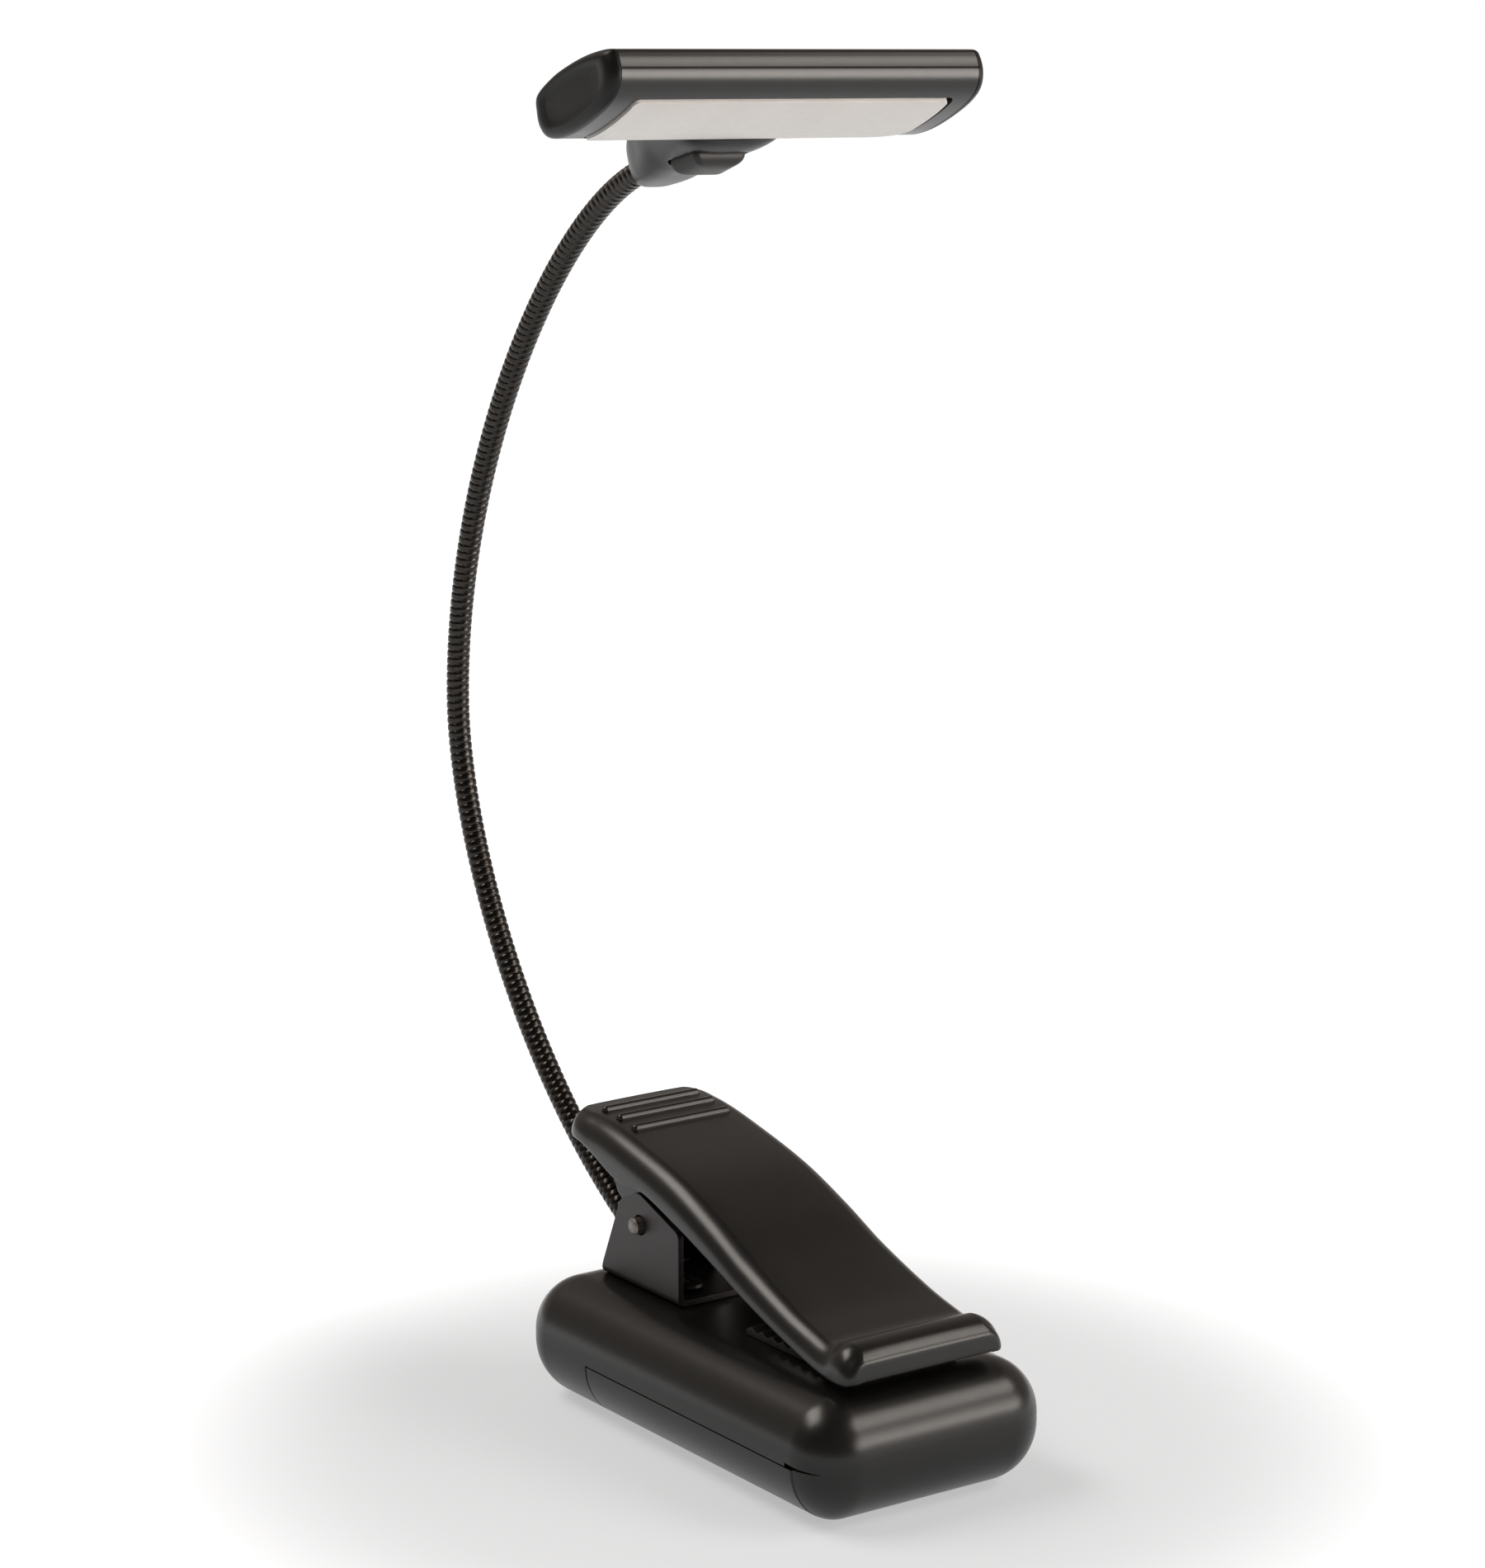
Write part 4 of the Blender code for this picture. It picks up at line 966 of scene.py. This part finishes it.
def lens():
    """Milky lens, standing a little proud of the frame around it."""
    loop = head_outline(12)
    xs = [LENS_X0 - 0.5 + (LENS_X1 - LENS_X0 + 1) * s / 40 for s in range(41)]
    lower = [(x, underside(x, loop) - LENS_PROUD) for x in xs]
    upper = [(x, z + 1.6) for x, z in reversed(lower)]
    slab = prism_y("lens", lower + upper, -30, 30, HEAD)
    combine(slab, prism_z("outline", window_outline(0.0, -0.2), -9, 2, HEAD), "INTERSECT")
    soften(slab, 0.75, 5, 50)
    place(slab, "head", ["diffuser"], "diffuser", degrees=50)


HOUSING = (                     # x, centre, half width, top, bottom, squareness below
    (-32.7, 0.5, 2.65, 2.0, -3.75, 0.8), (-31.7, 0.45, 3.6, 3.3, -4.5, 0.6),
    (-29.5, 0.35, 4.7, 4.3, -4.8, 0.5), (-26.5, 0.25, 5.6, 4.2, -5.0, 0.52),
    (-23.5, 0.1, 6.4, 4.2, -5.05, 0.66), (-20, 0, 7.2, 4.1, -5.2, 0.85),
    (-14, 0.3, 9.0, 3.9, -5.35, 0.78), (-11.5, 0.4, 9.65, 3.7, -5.25, 0.72),
    (-9.8, 0.45, 10.05, 3.5, -4.8, 0.7), (-8.6, 0.5, 10.25, 3.4, -4.1, 0.72))


def housing_ring(x, shrink=0.0, shift=0.0):
    """One section of the stem: a squared-off oval, flatter above than below."""
    values = [curve_at([(s[0], s[k]) for s in HOUSING], x) for k in range(1, 6)]
    centre, half, top, low, power_low = values
    half, top, low = half - shrink, top - shrink, low + shrink
    sides = 72
    ring = []
    for side in range(sides):
        turn = 2 * math.pi * side / sides
        c, s = math.cos(turn), math.sin(turn)
        power = 0.7 if s > 0 else power_low
        across = half * math.copysign(abs(c)**power, c)
        reach = top if s > 0 else -low
        ring.append((x + shift, centre + across, reach * math.copysign(abs(s)**power, s)))
    return ring


def housing():
    """The stem between neck and bar, with the well that the button sits in."""
    stations = [-32.45 + 0.25 * s for s in range(12)] + [-29.4 + 0.62 * s for s in range(34)]
    rings = [housing_ring(-32.7, 0.35), housing_ring(-32.7, 0.1, 0.12)]
    rings += [housing_ring(x) for x in stations]
    body = loft("neck_housing", rings, HEAD)
    cut(body, prism_z("well", button_outline(0.42), -9, -2.4, HEAD))
    soften(body, 0.12, 2, 55)
    place(body, "head", ["neck_housing_top", "neck_housing_bottom"], "housing_plastic",
          degrees=40)


def button_outline(grow):
    half = BUTTON_HALF + grow
    return rounded_rectangle(BUTTON_X0 - grow, BUTTON_X1 + grow, -half, half, BUTTON_CORNER + grow, 10)


def button():
    """Domed button, thicker than its travel below the well's rim."""
    middle = (BUTTON_X0 + BUTTON_X1) / 2
    outline = button_outline(0.0)
    rings = [[(x, y, -4.15) for x, y in outline], [(x, y, -4.75) for x, y in outline]]
    for step in range(1, 15):
        turn = math.pi / 2 * step / 14
        shrink = math.cos(turn)**0.62 if step < 14 else 0.04
        z = -4.75 - 2.15 * math.sin(turn)**0.85
        rings.append([(middle + (x - middle) * shrink, y * shrink, z) for x, y in outline])
    body = loft("power_button", rings, HEAD)
    place(body, "button", ["switch_button"], "button_plastic", degrees=60)


# ---------------------------------------------------------------- whole lamp

upper_shell()
lower_shell()
door()
cells()
bracket()
screws()
lever()
pads()
pin()
spring()
neck()
grommet()
head_shells()
caps()
lens()
housing()
button()

slots = {row["node"]: row["material_slot"] for row in frame["record"]["subparts"]}
for name, node in frame["nodes"].items():
    if not node.hide_render:
        node.data.materials.clear()
        node.data.materials.append(FINISH[slots[name]])


# ---------------------------------------------------------------- studio

CAMERA_AT, CAMERA_TURN, CAMERA_DIP = (0.542403, -0.388653, 0.249077), 54.86, 12.54
CAMERA_LENS, CAMERA_SENSOR = 107.35, 36.0
ROOM_LOW, ROOM_MID, ROOM_TOP, ROOM_NEAR, ROOM_FLOOR = 0.42, 0.4, 0.12, 0.35, 0.9
ROOM_TONE, LAMP_TONE = (1.0, 0.9, 0.81), (1.0, 0.93, 0.87)
NEAR_SIDE = (0.574, -0.819, 0)
# Painted shadow on the floor: its glow is dimmed to the first value close to the lamp and rises to the
# second further out.
FLOOR_SHADOW_GLOW, FLOOR_GLOW, FLOOR_TONE, FLOOR_HALF = 0.45, 0.93, (0.33, 0.35, 0.375), 9000
SHADOW_FADE_START, SHADOW_FADE_END = 0.05, 0.13               # metres from the lamp over which the painted shadow fades and the floor brightens


def camera():
    made = bpy.data.cameras.new("camera")
    obj = bpy.data.objects.new("camera", made)
    bpy.context.scene.collection.objects.link(obj)
    made.sensor_width = CAMERA_SENSOR
    made.lens = CAMERA_LENS
    made.clip_start, made.clip_end = 0.01, 50.0
    turn, dip = math.radians(CAMERA_TURN), math.radians(CAMERA_DIP)
    way = Vector((-math.sin(turn) * math.cos(dip), math.cos(turn) * math.cos(dip), -math.sin(dip)))
    obj.location = CAMERA_AT
    obj.rotation_euler = way.to_track_quat("-Z", "Y").to_euler()
    bpy.context.scene.camera = obj


def surroundings():
    """Dim room: grey above the horizon, darker overhead and on the near side, pale below."""
    world = bpy.data.worlds.new("studio")
    bpy.context.scene.world = world
    world.use_nodes = True
    tree = world.node_tree
    background = tree.nodes["Background"]
    way = tree.nodes.new("ShaderNodeTexCoord").outputs["Generated"]

    def ramp(direction, stops, tone=(1.0, 1.0, 1.0)):
        dot = tree.nodes.new("ShaderNodeVectorMath")
        dot.operation = "DOT_PRODUCT"
        dot.inputs[1].default_value = direction
        tree.links.new(way, dot.inputs[0])
        shift = tree.nodes.new("ShaderNodeMapRange")
        shift.inputs["From Min"].default_value = -1.0
        tree.links.new(dot.outputs["Value"], shift.inputs["Value"])
        made = tree.nodes.new("ShaderNodeValToRGB")
        made.color_ramp.interpolation = "EASE"
        elements = made.color_ramp.elements
        elements[0].position, elements[1].position = stops[0][0] / 2 + 0.5, stops[-1][0] / 2 + 0.5
        for cosine, _ in stops[1:-1]:
            elements.new(cosine / 2 + 0.5)
        for element, (_, value) in zip(elements, stops):
            element.color = (value * tone[0], value * tone[1], value * tone[2], 1)
        tree.links.new(shift.outputs["Result"], made.inputs["Fac"])
        return made.outputs["Color"]

    levels = ((-1, ROOM_FLOOR), (-0.02, ROOM_FLOOR), (0.03, ROOM_LOW), (0.6, ROOM_MID), (0.95, ROOM_TOP))
    height = ramp((0, 0, 1), levels, ROOM_TONE)
    side = ramp(NEAR_SIDE, ((-0.2, 1.0), (0.8, ROOM_NEAR)))
    product = tree.nodes.new("ShaderNodeMix")
    product.data_type = "RGBA"
    product.blend_type = "MULTIPLY"
    product.inputs["Factor"].default_value = 1.0
    tree.links.new(height, product.inputs["A"])
    tree.links.new(side, product.inputs["B"])
    tree.links.new(product.outputs["Result"], background.inputs["Color"])
    background.inputs["Strength"].default_value = 1.0


def facing(azimuth, elevation):
    """Direction from the lamp at a bearing and a height, both in degrees."""
    turn, rise = math.radians(azimuth), math.radians(elevation)
    return Vector((math.cos(turn) * math.cos(rise), math.sin(turn) * math.cos(rise), math.sin(rise)))


def softbox(name, azimuth, elevation, distance, size, brightness, target=0.015, spread=180):
    """Rectangular light at a bearing from a point above the origin; a brightness of 1 is white."""
    light = bpy.data.lights.new(name, "AREA")
    light.shape = "RECTANGLE"
    light.size, light.size_y = size
    light.energy = brightness * math.pi * size[0] * size[1]
    light.color = LAMP_TONE
    light.spread = math.radians(spread)
    obj = bpy.data.objects.new(name, light)
    bpy.context.scene.collection.objects.link(obj)
    way = facing(azimuth, elevation)
    obj.location = Vector((0.0, 0.0, target)) + way * distance
    obj.rotation_euler = way.to_track_quat("Z", "Y").to_euler()


def pale_floor():
    """Wide floor that glows white, with a painted shadow: its glow is softly dimmer close to the lamp."""
    corners = [(sx * FLOOR_HALF, sy * FLOOR_HALF, 0) for sx, sy in ((-1, -1), (1, -1), (1, 1), (-1, 1))]
    floor = make("floor", corners, [(0, 1, 2, 3)])
    m = Nodes("pale_floor")
    m.tint(m.noise(3.0), FLOOR_TONE, [value + 0.01 for value in FLOOR_TONE])
    m.set(Roughness=0.8)
    m.shader.inputs["Specular IOR Level"].default_value = 0.1
    m.shader.inputs["Emission Color"].default_value = (1, 1, 1, 1)
    where = m.position()
    reach = m.add("ShaderNodeVectorMath", operation="LENGTH")
    m.link(where, reach.inputs[0])
    # Painted shadow: the floor's glow is turned down near the lamp, standing in for a soft contact shadow.
    shadowed_glow = m.add("ShaderNodeMapRange", interpolation_type="SMOOTHERSTEP")
    for key, number in (("From Min", SHADOW_FADE_START), ("From Max", SHADOW_FADE_END),
                        ("To Min", FLOOR_SHADOW_GLOW), ("To Max", FLOOR_GLOW)):
        shadowed_glow.inputs[key].default_value = number
    m.link(reach.outputs["Value"], shadowed_glow.inputs["Value"])
    m.link(shadowed_glow.outputs["Result"], m.shader.inputs["Emission Strength"])
    floor.data.materials.append(m.material)


def studio():
    bpy.context.scene.view_settings.view_transform = "Standard"
    surroundings()
    pale_floor()
    softbox("box_right", 47, 42.5, 1.23, (0.58, 0.4), 6.5)
    softbox("box_low", 36, 3, 0.9, (0.5, 0.14), 0.75, 0.03)
    softbox("box_head", 35, 2, 0.6, (0.56, 0.26), 1.25, 0.2, 60)
    softbox("box_left", 228, 56, 1.2, (0.75, 0.44), 8.0)


camera()
studio()
